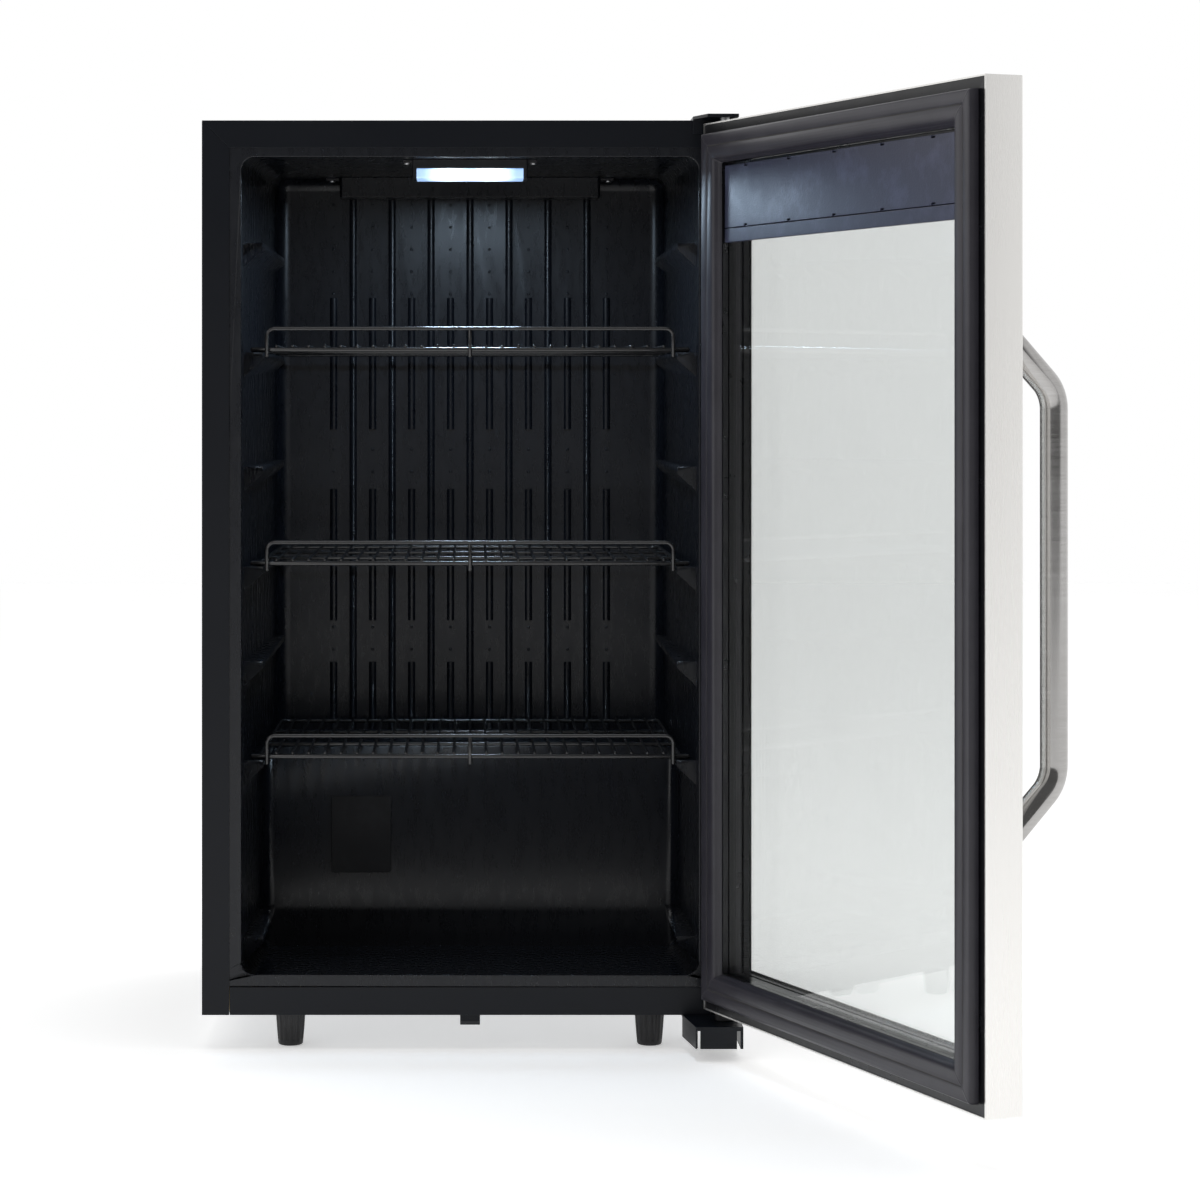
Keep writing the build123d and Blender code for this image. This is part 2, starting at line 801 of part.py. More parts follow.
wires_front = condenser_y - wire_offset - condenser_wire_radius
with BuildPart() as condenser_clips:
    for side in (-1, 1):
        for z in (condenser_low + condenser_pitch, condenser_high - condenser_pitch):
            x = side * (condenser_half - 1.5 * condenser_wire_pitch - condenser_pitch / 2)
            slab(
                (x - clip_block_half, y_rear - sheet, z - clip_block_rise),
                (x + clip_block_half, wires_front - touch_gap, z + clip_block_rise),
            )
save(condenser_clips.part, "condenser_clips")

discharge_side = x_inside - 18
discharge_z = shell_low + compressor_height / 3
discharge_top = condenser_high + condenser_pitch / 2
save(
    bent_tube(
        [
            (compressor_x + compressor_radius + 4, room_middle, discharge_z),
            (discharge_side, room_middle, discharge_z),
            (discharge_side, condenser_y, discharge_z),
            (discharge_side, condenser_y, discharge_top),
            (-condenser_half, condenser_y, discharge_top),
            (-condenser_half, condenser_y, condenser_high + 2 * condenser_tube_radius),
        ],
        5,
        tube_radius,
    ),
    "discharge_tube",
)

suction_z = shell_low + 0.64 * compressor_height
save(
    bent_tube(
        [
            (suction_x, room_middle - 0.92 * compressor_radius, suction_z),
            (suction_x, suction_y, suction_z),
            (suction_x, suction_y, tube_top),
        ],
        8,
        tube_radius,
    ),
    "suction_tube",
)

drier_x = condenser_foot[0]
drier_top = condenser_foot[2]
with BuildPart() as filter_drier:
    rod((drier_x, condenser_y, drier_top), (drier_x, condenser_y, drier_top - drier_length), drier_radius)
    fillet(filter_drier.edges(), 4)
save(filter_drier.part, "filter_drier")

drier_end = drier_top - drier_length
save(
    bent_tube(
        [
            (drier_x, condenser_y, drier_end),
            (drier_x, condenser_y, drier_end - 20),
            (drier_x, room_middle, drier_end - 20),
            (drier_x, room_middle, tube_top),
        ],
        9,
        capillary_radius,
    ),
    "capillary_tube",
)

terminal_low_x = drier_x + 10
terminal_x = terminal_low_x + terminal_width / 2
with BuildPart() as terminal_box:
    slab(
        (terminal_low_x, room_middle + 10, deck_top),
        (terminal_low_x + terminal_width, y_rear - terminal_setback, deck_top + terminal_height),
    )
    fillet(terminal_box.edges().filter_by(Axis.Y), 4)
save(terminal_box.part, "terminal_box")

gland_z = deck_top + terminal_height / 2
with BuildPart() as cord_gland:
    gland_front = (terminal_x, y_rear - terminal_setback, gland_z)
    gland_rear = (terminal_x, y_rear + 2, gland_z)
    rod(gland_front, gland_rear, gland_radius)
    rod(gland_front, gland_rear, cord_radius, Mode.SUBTRACT)
save(cord_gland.part, "cord_gland")

# ---------------------------------------------------------------- hinges
bracket_side = x_side - hinge_bracket_half_inset
with BuildPart() as top_hinge_bracket:
    inner = bracket_side - top_bracket_width
    front = pin_y - top_bracket_front
    with BuildSketch(Plane.XY.offset(z_top)):
        with BuildLine():
            Polyline(
                (bracket_side, y_front + top_bracket_rear),
                (bracket_side, front),
                (inner + 1.2 * top_bracket_tab, front),
                (inner, y_front - stop_tab_gap - hinge_plate),
                (inner, y_front + top_bracket_rear),
                close=True,
            )
        make_face()
    extrude(amount=hinge_plate)
    slab(
        (inner, y_front - stop_tab_gap - hinge_plate, z_top - stop_tab_drop),
        (inner + top_bracket_tab, y_front - stop_tab_gap, z_top + hinge_plate),
    )
    rod(
        (pin_x, pin_y, z_top - 1),
        (pin_x, pin_y, z_top + hinge_plate + 1),
        pin_radius + running_fit,
        Mode.SUBTRACT,
    )
save(top_hinge_bracket.part, "top_hinge_bracket")

bracket_low = z_base - bottom_bracket_drop
bracket_front = y_front - bottom_bracket_front
bracket_rear = y_front + bottom_bracket_rear
bracket_inner = x_side - bottom_bracket_width
corner_slot = 3
with BuildPart() as bottom_hinge_bracket:
    outline = [
        (x_side, bracket_rear),
        (x_side, bracket_front),
        (bracket_inner + bottom_bracket_taper, bracket_front),
        (bracket_inner, y_front),
        (bracket_inner, bracket_rear),
    ]
    with BuildSketch(Plane.XY.offset(bracket_low)):
        with BuildLine():
            Polyline(*outline, close=True)
        make_face()
    extrude(amount=bottom_bracket_drop)
    with BuildSketch(Plane.XY.offset(bracket_low)):
        with BuildLine():
            Polyline(*outline, close=True)
        make_face()
        offset(amount=-bracket_sheet)
    extrude(amount=bottom_bracket_drop - bracket_sheet, mode=Mode.SUBTRACT)
    # the rear stays open, and the front corners are slotted where the sheet was folded
    slab(
        (bracket_inner - 1, y_front + bracket_sheet, bracket_low - 1),
        (x_side + 1, bracket_rear + 1, z_base - bracket_sheet),
        Mode.SUBTRACT,
    )
    for x in (x_side - bracket_sheet - corner_slot / 2, bracket_inner + bottom_bracket_taper + bracket_sheet):
        slab(
            (x - corner_slot / 2, bracket_front - 1, bracket_low - 1),
            (x + corner_slot / 2, bracket_front + bracket_sheet + 1, z_base - bracket_sheet - 1),
            Mode.SUBTRACT,
        )
    rod((pin_x, pin_y, z_base - 4), (pin_x, pin_y, z_base + 1), pin_radius + running_fit, Mode.SUBTRACT)
save(bottom_hinge_bracket.part, "bottom_hinge_bracket")

with BuildPart() as hinge_pins:
    rod((pin_x, pin_y, z_base - bracket_sheet), (pin_x, pin_y, door_low + pin_reach), pin_radius)
    rod((pin_x, pin_y, door_high - pin_reach), (pin_x, pin_y, z_top + hinge_plate), pin_radius)
save(hinge_pins.part, "hinge_pins")

with BuildPart() as hinge_spacer:
    rod((pin_x, pin_y, z_base + touch_gap), (pin_x, pin_y, door_low - 2 * touch_gap), spacer_radius)
    rod((pin_x, pin_y, z_base), (pin_x, pin_y, door_low), pin_radius + running_fit, Mode.SUBTRACT)
save(hinge_spacer.part, "hinge_spacer")

hinge_screw_x = [bracket_side - 0.26 * top_bracket_width, bracket_side - 0.74 * top_bracket_width]
with BuildPart() as hinge_screws:
    for x in hinge_screw_x:
        for behind in top_screws_behind_front:
            y = y_front + behind
            seat = z_top + hinge_plate
            rod((x, y, seat), (x, y, seat + hinge_screw_head_height), hinge_screw_head)
            rod((x, y, seat), (x, y, z_top - 10), hinge_screw_radius)
    for inset in bottom_screws_inset:
        x = x_side - inset
        y = y_front + bottom_screws_behind_front
        seat = z_base - bracket_sheet
        rod((x, y, seat), (x, y, seat - hinge_screw_head_height), hinge_screw_head)
        rod((x, y, seat), (x, y, z_base + 8), hinge_screw_radius)
save(hinge_screws.part, "hinge_screws")

# ---------------------------------------------------------------- feet and front clip
with BuildPart() as front_clip:
    clip_front = y_front + clip_setback
    clip_rear = clip_front + clip_depth
    slab((-clip_width / 2, clip_front, z_base - clip_height), (clip_width / 2, clip_rear, z_base))
    chamfer(front_clip.edges().filter_by(Axis.X).group_by(Axis.Z)[0].sort_by(Axis.Y)[0], 4)
    slab(
        (-clip_width / 2 + clip_sheet, clip_front + 3 * clip_sheet, z_base - clip_height + clip_sheet),
        (clip_width / 2 - clip_sheet, clip_rear + 1, z_base - clip_sheet),
        Mode.SUBTRACT,
    )
save(front_clip.part, "front_clip")

rear_feet_places = [
    (-x_side + rear_foot_inset, y_rear - rear_foot_inset / 2 - 4),
    (x_side - rear_foot_inset, y_rear - rear_foot_inset / 2 - 4),
]
with BuildPart() as rear_feet:
    with Locations(*[(x, y, 0) for x, y in rear_feet_places]):
        Cone(
            rear_foot_radius * 0.85,
            rear_foot_radius,
            foot_height,
            align=(Align.CENTER, Align.CENTER, Align.MIN),
        )
save(rear_feet.part, "rear_feet")


def front_foot(x, y):
    """A levelling foot: a fluted plastic cone moulded round a threaded stud."""
    body_top = foot_height - 0.5
    with BuildPart() as foot:
        with Locations((x, y, 0)):
            Cone(
                foot_bottom_radius,
                foot_top_radius,
                body_top,
                align=(Align.CENTER, Align.CENTER, Align.MIN),
            )
        fillet(foot.edges().sort_by(Axis.Z)[0], 2)
        for index in range(foot_flutes):
            angle = 2 * math.pi * index / foot_flutes
            reach = foot_bottom_radius + 1.1
            top = foot_top_radius + 1.1
            rod(
                (x + reach * math.cos(angle), y + reach * math.sin(angle), 4),
                (x + top * math.cos(angle), y + top * math.sin(angle), body_top + 1),
                1.5,
                Mode.SUBTRACT,
            )
        with Locations((x, y, body_top - 6)):
            Cylinder(stud_radius, 6 + stud_length * 0.7, align=(Align.CENTER, Align.CENTER, Align.MIN))
    return foot.part


save(front_foot(*front_feet[0]), "front_left_foot")
save(front_foot(*front_feet[1]), "front_right_foot")

# ---------------------------------------------------------------- shelves
def shelf_deck(top):
    """The flat grid of one shelf: a frame of thick wire with thin wires welded across it."""
    z = top + shelf_lift + frame_wire
    side_wire = 0.9 * frame_wire
    bar_wire = 0.8 * frame_wire
    weld = 0.5
    with BuildPart() as deck:
        with BuildLine() as path:
            FilletPolyline(
                (-deck_half, shelf_front - 1, z),
                (-deck_half, shelf_rear, z),
                (deck_half, shelf_rear, z),
                (deck_half, shelf_front - 1, z),
                radius=4 * frame_wire,
            )
        with BuildSketch(Plane(origin=path.line @ 0, z_dir=path.line % 0)):
            Circle(side_wire)
        sweep()
        rod((-front_wire_half, shelf_front, z), (front_wire_half, shelf_front, z), frame_wire)
        for share in (1 / 3, 2 / 3):
            y = shelf_front + share * (shelf_rear - shelf_front)
            rod((-deck_half, y, z - 0.3), (deck_half, y, z - 0.3), bar_wire)
        pitch = 2 * deck_half / (cross_wire_count + 1)
        high = z + frame_wire + cross_wire - weld
        for index in range(cross_wire_count):
            x = -deck_half + (index + 1) * pitch
            rod((x, shelf_front - 1.5, high), (x, shelf_rear + 1.5, high), cross_wire)
    return deck.part


def shelf_rail(top):
    """The low wire rail that stands along the front of one shelf."""
    z = top + shelf_lift + frame_wire
    y = shelf_front - frame_wire - rail_wire
    low = z - shelf_stub
    high = z + shelf_rail_rise
    with BuildPart() as rail:
        with BuildLine() as path:
            FilletPolyline(
                (-shelf_rail_half, y, low),
                (-shelf_rail_half, y, high),
                (shelf_rail_half, y, high),
                (shelf_rail_half, y, low),
                radius=shelf_rail_radius,
            )
        with BuildSketch(Plane(origin=path.line @ 0, z_dir=path.line % 0)):
            Circle(rail_wire)
        sweep()
        rod((0, y, low), (0, y, high), rail_wire)
    return rail.part


for number, ledge in enumerate(reversed(shelf_ledges), start=1):
    save(shelf_deck(ledge_tops[ledge]), f"shelf_{number}_deck")
    save(shelf_rail(ledge_tops[ledge]), f"shelf_{number}_rail")

# ---------------------------------------------------------------- door
frame_edge = skin + touch_gap
glass_front = inner_glass_depth + inner_glass + glass_space + outer_glass
handle_x = -door_half + handle_inset
handle_middle = door_height / 2 + handle_above_middle
handle_ends = [handle_middle - handle_span / 2, handle_middle + handle_span / 2]
with BuildPart(door_plane) as door_skin:
    pane(0, 0, door_thickness)
    front_rim = door_skin.faces().filter_by(lambda face: face.normal_at().dot(door_plane.z_dir) > 0.99)
    fillet(front_rim.edges(), skin_bend)
    pane(skin, skin, door_thickness - skin, Mode.SUBTRACT)
    pane(skin_lip, 0, skin, Mode.SUBTRACT)
    pane(skin_window, skin, door_thickness, Mode.SUBTRACT)
    rod((pin_across, -1, pin_depth), (pin_across, 2, pin_depth), bush_radius + touch_gap, Mode.SUBTRACT)
    rod(
        (pin_across, door_height - 2, pin_depth),
        (pin_across, door_height + 1, pin_depth),
        bush_radius + touch_gap,
        Mode.SUBTRACT,
    )
    for y in handle_ends:
        rod(
            (handle_x, y, door_thickness - 2 * skin),
            (handle_x, y, door_thickness + skin),
            handle_screw_radius + touch_gap,
            Mode.SUBTRACT,
        )
save(door_skin.part, "door_skin")

with BuildPart(door_plane) as door_frame:
    pane(frame_edge, skin, door_thickness - frame_edge)
    pane(frame_opening, skin, door_thickness, Mode.SUBTRACT)
    pane(glass_inset - 1, inner_glass_depth - touch_gap, glass_front + touch_gap, Mode.SUBTRACT)
    ring(dart_inset, dart_inset + dart_width, skin, skin + dart_depth, Mode.SUBTRACT)
    for low in (0, door_height - bush_length - 1):
        rod(
            (pin_across, low, pin_depth),
            (pin_across, low + bush_length + 1, pin_depth),
            bush_radius + touch_gap,
            Mode.SUBTRACT,
        )
    for y in handle_ends:
        rod(
            (handle_x, y, glass_front),
            (handle_x, y, door_thickness),
            handle_screw_head + 1,
            Mode.SUBTRACT,
        )
save(door_frame.part, "door_frame")

with BuildPart(door_plane) as inner_glass_pane:
    pane(glass_inset, inner_glass_depth, inner_glass_depth + inner_glass)
save(inner_glass_pane.part, "inner_glass")

with BuildPart(door_plane) as outer_glass_pane:
    pane(glass_inset, glass_front - outer_glass, glass_front)
save(outer_glass_pane.part, "outer_glass")

with BuildPart(door_plane) as glass_spacer:
    ring(glass_inset + 2, spacer_inset, inner_glass_depth + inner_glass, glass_front - outer_glass)
save(glass_spacer.part, "glass_spacer")

magnet_low = -gasket_height + 1.2
with BuildPart(door_plane) as door_gasket:
    ring(gasket_outer, gasket_inner, -gasket_height, skin - touch_gap)
    sealing_face = door_gasket.faces().filter_by(
        lambda face: face.normal_at().dot(door_plane.z_dir) < -0.99
    )
    fillet(sealing_face.edges(), 1.5)
    ring(
        dart_inset + touch_gap,
        dart_inset + dart_width - touch_gap,
        skin - 2 * touch_gap,
        skin + dart_depth - touch_gap,
    )
    ring(
        magnet_inset - touch_gap,
        magnet_inset + magnet_width + touch_gap,
        magnet_low,
        magnet_low + magnet_thickness + touch_gap,
        Mode.SUBTRACT,
    )
save(door_gasket.part, "door_gasket")

with BuildPart(door_plane) as gasket_magnets:
    far = magnet_inset + magnet_width
    depth = (magnet_low + touch_gap / 2, magnet_low + magnet_thickness)
    for x in (-door_half + magnet_inset, door_half - far):
        slab((x, far + 1, depth[0]), (x + magnet_width, door_height - far - 1, depth[1]))
    for y in (magnet_inset, door_height - far):
        slab((-door_half + far + 1, y, depth[0]), (door_half - far - 1, y + magnet_width, depth[1]))
save(gasket_magnets.part, "gasket_magnets")

header_half = door_half - frame_opening - header_side_gap
header_high = door_height - frame_opening - header_gap
header_low = header_high - header_height
trim_high = header_low + header_trim_height
header_back = inner_glass_depth - touch_gap
header_front = header_back - header_proud
with BuildPart(door_plane) as header_cover:
    slab((-header_half, trim_high + seam_gap, header_front), (header_half, header_high, header_back))
    slab(
        (-header_half + header_wall, trim_high + header_wall + seam_gap, header_front + header_wall),
        (header_half - header_wall, header_high - header_wall, header_back),
        Mode.SUBTRACT,
    )
    slab((-header_half, header_low, header_front), (header_half, trim_high - seam_gap, header_back))
    for index in range(notch_count):
        x = (index - (notch_count - 1) / 2) * notch_pitch
        for y in (header_high, trim_high + notch_height):
            slab(
                (x - notch_width / 2, y - notch_height, header_front - 1),
                (x + notch_width / 2, y, header_front + header_wall),
                Mode.SUBTRACT,
            )
save(header_cover.part, "header_cover")

with BuildPart(door_plane) as control_board:
    slab(
        (-header_half + 30, trim_high + 8, header_back - 2.2),
        (header_half - 30, header_high - 6, header_back - 0.6),
    )
save(control_board.part, "control_board")

with BuildPart(door_plane) as hinge_bushes:
    for low in (touch_gap, door_height - bush_length):
        rod((pin_across, low, pin_depth), (pin_across, low + bush_length - touch_gap, pin_depth), bush_radius)
        rod(
            (pin_across, low - 1, pin_depth),
            (pin_across, low + bush_length + 1, pin_depth),
            pin_radius + running_fit,
            Mode.SUBTRACT,
        )
save(hinge_bushes.part, "hinge_bushes")

handle_low, handle_high = handle_ends


def handle_path(trim):
    """The bar's centre line in the door's axes, shortened by trim along each sloping leg."""
    rise = trim / math.sqrt(2)
    points = [
        (handle_x, handle_low + rise, door_thickness + rise),
        (handle_x, handle_low + handle_standoff, door_thickness + handle_standoff),
        (handle_x, handle_high - handle_standoff, door_thickness + handle_standoff),
        (handle_x, handle_high - rise, door_thickness + rise),
    ]
    return [door_plane.from_local_coords(point) for point in points]


def handle_solid(radius, trim):
    with BuildPart() as bar:
        with BuildLine() as path:
            FilletPolyline(*handle_path(trim), radius=handle_bend)
        with BuildSketch(Plane(origin=path.line @ 0, z_dir=path.line % 0)):
            Circle(radius)
        sweep()
    return bar.part


with BuildPart() as handle_bar:
    add(handle_solid(handle_radius, -handle_radius))
    add(handle_solid(handle_radius - handle_wall, handle_plug), mode=Mode.SUBTRACT)
    # the legs are cut flush with the stainless front
    split(bisect_by=door_plane.offset(door_thickness), keep=Keep.TOP)
    for y in handle_ends:
        start = door_plane.from_local_coords((handle_x, y, door_thickness - 1))
        end = door_plane.from_local_coords((handle_x, y, door_thickness + handle_screw_reach))
        rod(tuple(start), tuple(end), handle_screw_radius + touch_gap, Mode.SUBTRACT)
save(handle_bar.part, "handle_bar")

head_high = door_thickness - frame_edge
head_low = head_high - handle_head_height
with BuildPart(door_plane) as handle_screws:
    for y in handle_ends:
        rod((handle_x, y, head_low), (handle_x, y, head_high), handle_screw_head)
        rod(
            (handle_x, y, head_low),
            (handle_x, y, door_thickness + handle_screw_reach - 1),
            handle_screw_radius,
        )
save(handle_screws.part, "handle_screws")
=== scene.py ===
# %% [markdown]
# # A glass-door drinks cooler
#
# The object is a black steel cabinet with a moulded liner, sliding wire shelves, a small lamp, and a
# stainless-framed glass door that stands open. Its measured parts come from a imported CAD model, the frame.
# This lesson gives those parts their finishes, and models again the ones whose look depends on soft edges,
# folds, flutes and seams. Every length is in metres.

import json
import math

import bmesh
import bpy
from mathutils import Matrix, Vector
from mathutils.bvhtree import BVHTree


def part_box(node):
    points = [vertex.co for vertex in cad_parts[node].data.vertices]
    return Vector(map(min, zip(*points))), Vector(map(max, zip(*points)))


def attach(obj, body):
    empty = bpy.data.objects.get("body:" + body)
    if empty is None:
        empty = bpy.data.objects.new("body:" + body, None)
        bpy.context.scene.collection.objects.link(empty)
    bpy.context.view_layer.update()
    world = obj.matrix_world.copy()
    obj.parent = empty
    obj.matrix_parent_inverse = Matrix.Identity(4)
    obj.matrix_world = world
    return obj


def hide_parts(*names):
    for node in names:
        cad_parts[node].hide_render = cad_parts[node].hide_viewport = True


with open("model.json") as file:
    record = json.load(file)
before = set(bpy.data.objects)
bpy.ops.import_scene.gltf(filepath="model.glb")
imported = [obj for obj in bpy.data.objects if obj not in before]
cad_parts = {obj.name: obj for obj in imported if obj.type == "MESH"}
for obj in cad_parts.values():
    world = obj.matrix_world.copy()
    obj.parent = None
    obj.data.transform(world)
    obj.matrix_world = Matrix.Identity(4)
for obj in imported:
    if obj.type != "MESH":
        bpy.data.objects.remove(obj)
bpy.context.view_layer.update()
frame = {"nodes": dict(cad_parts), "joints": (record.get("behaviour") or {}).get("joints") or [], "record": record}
nodes = frame["nodes"]
MM = 0.001
body_of = {node: body for body, members in frame["record"]["behaviour"]["bodies"].items() for node in members}
slot_of = {entry["node"]: entry["material_slot"] for entry in frame["record"]["subparts"]}

# %% [markdown]
# ## Camera and studio
#
# The camera stands level in front of the cabinet, a little above its middle, and looks straight in.
# The door swings out to the right, so the lens is shifted rather than turned: a turned camera would
# make the cabinet's upright edges lean. Behind the object the studio is white. The room behind the camera is
# dimmer, because a black glossy thing is only as black as what it reflects.

# %% Camera
front_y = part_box("left_side_panel")[0].y
camera_data = bpy.data.cameras.new("studio_camera")
camera_data.lens = 96.9
camera_data.shift_x = 0.1083
camera_data.shift_y = -0.1667
camera = bpy.data.objects.new("studio_camera", camera_data)
camera.location = (0, front_y - 2.83, 0.569)
camera.rotation_euler = (math.radians(90), 0, 0)
bpy.context.scene.collection.objects.link(camera)
bpy.context.scene.camera = camera
bpy.context.scene.view_settings.view_transform = "Standard"
print("camera at", [round(v, 3) for v in camera.location])


# %% [markdown]
# ## A small language for finishes
#
# A procedural finish is arithmetic on patterns: a grain added to a base, a smudge multiplied by a mask.
# Writing it as node calls hides the sum. So one class wraps a node's output and lets Python's own
# operators add the Math nodes, and one method makes every other kind of node.

# %% Values and finishes
class Value:
    """One number, colour or vector that comes out of a node."""

    def __init__(self, finish, socket):
        self.finish = finish
        self.socket = socket

    def joined(self, operation, first, second):
        return self.finish.node("Math", {"operation": operation}, {0: first, 1: second})

    def __add__(self, other):
        return self.joined("ADD", self, other)

    def __radd__(self, other):
        return self.joined("ADD", other, self)

    def __sub__(self, other):
        return self.joined("SUBTRACT", self, other)

    def __rsub__(self, other):
        return self.joined("SUBTRACT", other, self)

    def __mul__(self, other):
        return self.joined("MULTIPLY", self, other)

    def __rmul__(self, other):
        return self.joined("MULTIPLY", other, self)

    def __truediv__(self, other):
        return self.joined("DIVIDE", self, other)

    def __rtruediv__(self, other):
        return self.joined("DIVIDE", other, self)


class Finish:
    """A material while it is being mixed. Constants go straight on the shader's own sockets."""

    def __init__(self, name, **constants):
        self.material = bpy.data.materials.new(name)
        self.material.use_nodes = True
        self.tree = self.material.node_tree
        self.shader = next(n for n in self.tree.nodes if n.type == "BSDF_PRINCIPLED")
        for socket, value in constants.items():
            self.shader.inputs[socket.replace("_", " ")].default_value = value

    def node(self, kind, settings=None, values=None, output=0):
        made = self.tree.nodes.new("ShaderNode" + kind)
        for key, value in (settings or {}).items():
            setattr(made, key, value)
        for key, value in (values or {}).items():
            if isinstance(value, Value):
                self.tree.links.new(value.socket, made.inputs[key])
            else:
                made.inputs[key].default_value = value
        return Value(self, made.outputs[output])

    def place(self, scale=(1, 1, 1), turn=0.0):
        """The piece's own coordinates in metres, turned about the upright axis and then scaled."""
        here = self.node("TexCoord", output="Object")
        turned = self.node("Mapping", {}, {"Vector": here, "Rotation": (0, 0, turn)})
        return self.node("Mapping", {}, {"Vector": turned, "Scale": scale})

    def noise(self, scale, detail=2.0, roughness=0.5, place=None):
        values = {"Scale": scale, "Detail": detail, "Roughness": roughness, "Vector": place or self.place()}
        return self.node("TexNoise", {}, values)

    def between(self, pattern, low, high, start=0.0, end=1.0):
        """The pattern, stretched so that low becomes start and high becomes end, and held there."""
        values = {"Value": pattern, "From Min": low, "From Max": high, "To Min": start, "To Max": end}
        return self.node("MapRange", {"clamp": True}, values)

    def blend(self, mask, first, second):
        """A colour that goes from first to second as the mask goes from 0 to 1."""
        return self.node("Mix", {"data_type": "RGBA"}, {0: mask, 6: first, 7: second}, output=2)

    def use(self, **links):
        """Joins patterns to the shader: Base_Color, Roughness, Metallic, Emission_Color or Normal."""
        for socket, value in links.items():
            self.tree.links.new(value.socket, self.shader.inputs[socket.replace("_", " ")])
        return self

    def relief(self, height, distance, strength=1.0):
        """A bump whose full height, in metres, is distance."""
        return self.node("Bump", {}, {"Height": height, "Distance": distance, "Strength": strength})


def shade(red, green, blue):
    return (red, green, blue, 1.0)


hinge = next(joint for joint in frame["joints"] if joint["name"] == "door_hinge")
swing = -math.radians(hinge["range_deg"][0])
print("the door stands open by", round(math.degrees(swing)), "degrees")

# %% [markdown]
# ## The door, shut and open
#
# A door is easiest to model shut, when it is square to the axes. Each of its pieces is made in that place
# and is then swung about the hinge pin to where it stands open.

# %% Door places
pin = Vector(hinge["pos_m"])
opened = Matrix.Translation(pin) @ Matrix.Rotation(swing, 4, "Z") @ Matrix.Translation(-pin)
shut = opened.inverted()


def shut_box(node):
    """The two corners of a door piece's box while the door is shut."""
    places = [shut @ vertex.co for vertex in nodes[node].data.vertices]
    return [Vector([end(place[axis] for place in places) for axis in range(3)]) for end in (min, max)]


def swing_open(piece):
    piece.matrix_world = opened @ piece.matrix_world
    return settle(piece)


door_box = shut_box("door_skin")
door_back = door_box[1].y  # the inner face
door_face = door_box[0].y  # the stainless front
door_middle = (door_box[0] + door_box[1]) / 2
print("shut door", [round(v, 4) for v in (*door_box[0], *door_box[1])])

# %% [markdown]
# ## Painted steel
#
# The cabinet is sheet steel with a satin black enamel. Sprayed enamel is never quite flat: it dries with a
# faint orange peel about a millimetre across, and it holds a little dust. The peel goes in the bump, and the
# dust lifts both colour and roughness, so that it shows only where light grazes it.

# %% Enamels
def enamel(name, colour, roughness, peel_distance, dust_amount, coat=0.0):
    finish = Finish(name, Coat_Roughness=0.2, Specular_IOR_Level=0.25)
    peel = finish.noise(900, detail=1)
    cloud = finish.noise(6, detail=4)
    speck = finish.between(finish.noise(2600, detail=1), 0.68, 0.8)
    dust = finish.between(cloud, 0.35, 0.75) * 0.5 + speck * finish.between(cloud, 0.4, 0.8)
    dusty = shade(*(channel + dust_amount for channel in colour))
    finish.shader.inputs["Coat Weight"].default_value = coat
    finish.use(
        Base_Color=finish.blend(dust, shade(*colour), dusty),
        Roughness=dust * 0.08 + peel * 0.06 + (roughness - 0.05),
        Normal=finish.relief(peel, peel_distance),
    )
    return finish.material


finishes = {}
finishes["painted_steel"] = enamel("satin_black_enamel", (0.0024, 0.0036, 0.0066), 0.36, 0.03 * MM, 0.0025)
finishes["black_steel"] = enamel("thick_black_enamel", (0.006, 0.006, 0.006), 0.28, 0.12 * MM, 0.012, coat=0.3)
finishes["coated_wire"] = enamel("powder_coat", (0.016, 0.016, 0.017), 0.2, 0.02 * MM, 0.006, coat=0.8)
print("enamels", list(finishes))

# %% [markdown]
# ## Black mouldings
#
# The liner is a sheet of plastic drawn hot over a mould. It comes out glossy, but it takes up a slow
# waviness where it cooled, which bends the reflections of the shelves. The small mouldings are satin with a
# fine spark-eroded grain.

# %% The drawn liner
liner = Finish("drawn_liner", Specular_IOR_Level=0.36)
slow = liner.noise(22, detail=2)
scuff = liner.noise(140, detail=5, roughness=0.7, place=liner.place((1, 1, 0.25)))
liner.use(
    Base_Color=liner.blend(
        liner.between(scuff, 0.5, 0.8), shade(0.0058, 0.0068, 0.0098), shade(0.009, 0.0102, 0.0138)
    ),
    Roughness=liner.between(scuff, 0.4, 0.75, 0.26, 0.36),
    Normal=liner.relief(slow, 0.5 * MM, 0.5),
)
finishes["black_liner"] = liner.material
print("liner finish ready")


# %% Grained plastics, and the small parts behind
def grained(name, colour, roughness, grain_scale, grain_depth, shine=0.4):
    """Spark-eroded grain with paler places where hands and parts have rubbed it."""
    finish = Finish(name, Specular_IOR_Level=shine)
    pattern = {"Scale": grain_scale, "Vector": finish.place()}
    grain = finish.node("TexVoronoi", {"feature": "SMOOTH_F1"}, pattern)
    wear = finish.noise(35, detail=5, roughness=0.65)
    rubbed = shade(*(channel * 1.9 + 0.003 for channel in colour))
    finish.use(
        Base_Color=finish.blend(finish.between(wear, 0.5, 0.8), shade(*colour), rubbed),
        Roughness=finish.between(wear, 0.35, 0.75, roughness, roughness - 0.1),
        Normal=finish.relief(grain, grain_depth),
    )
    return finish.material


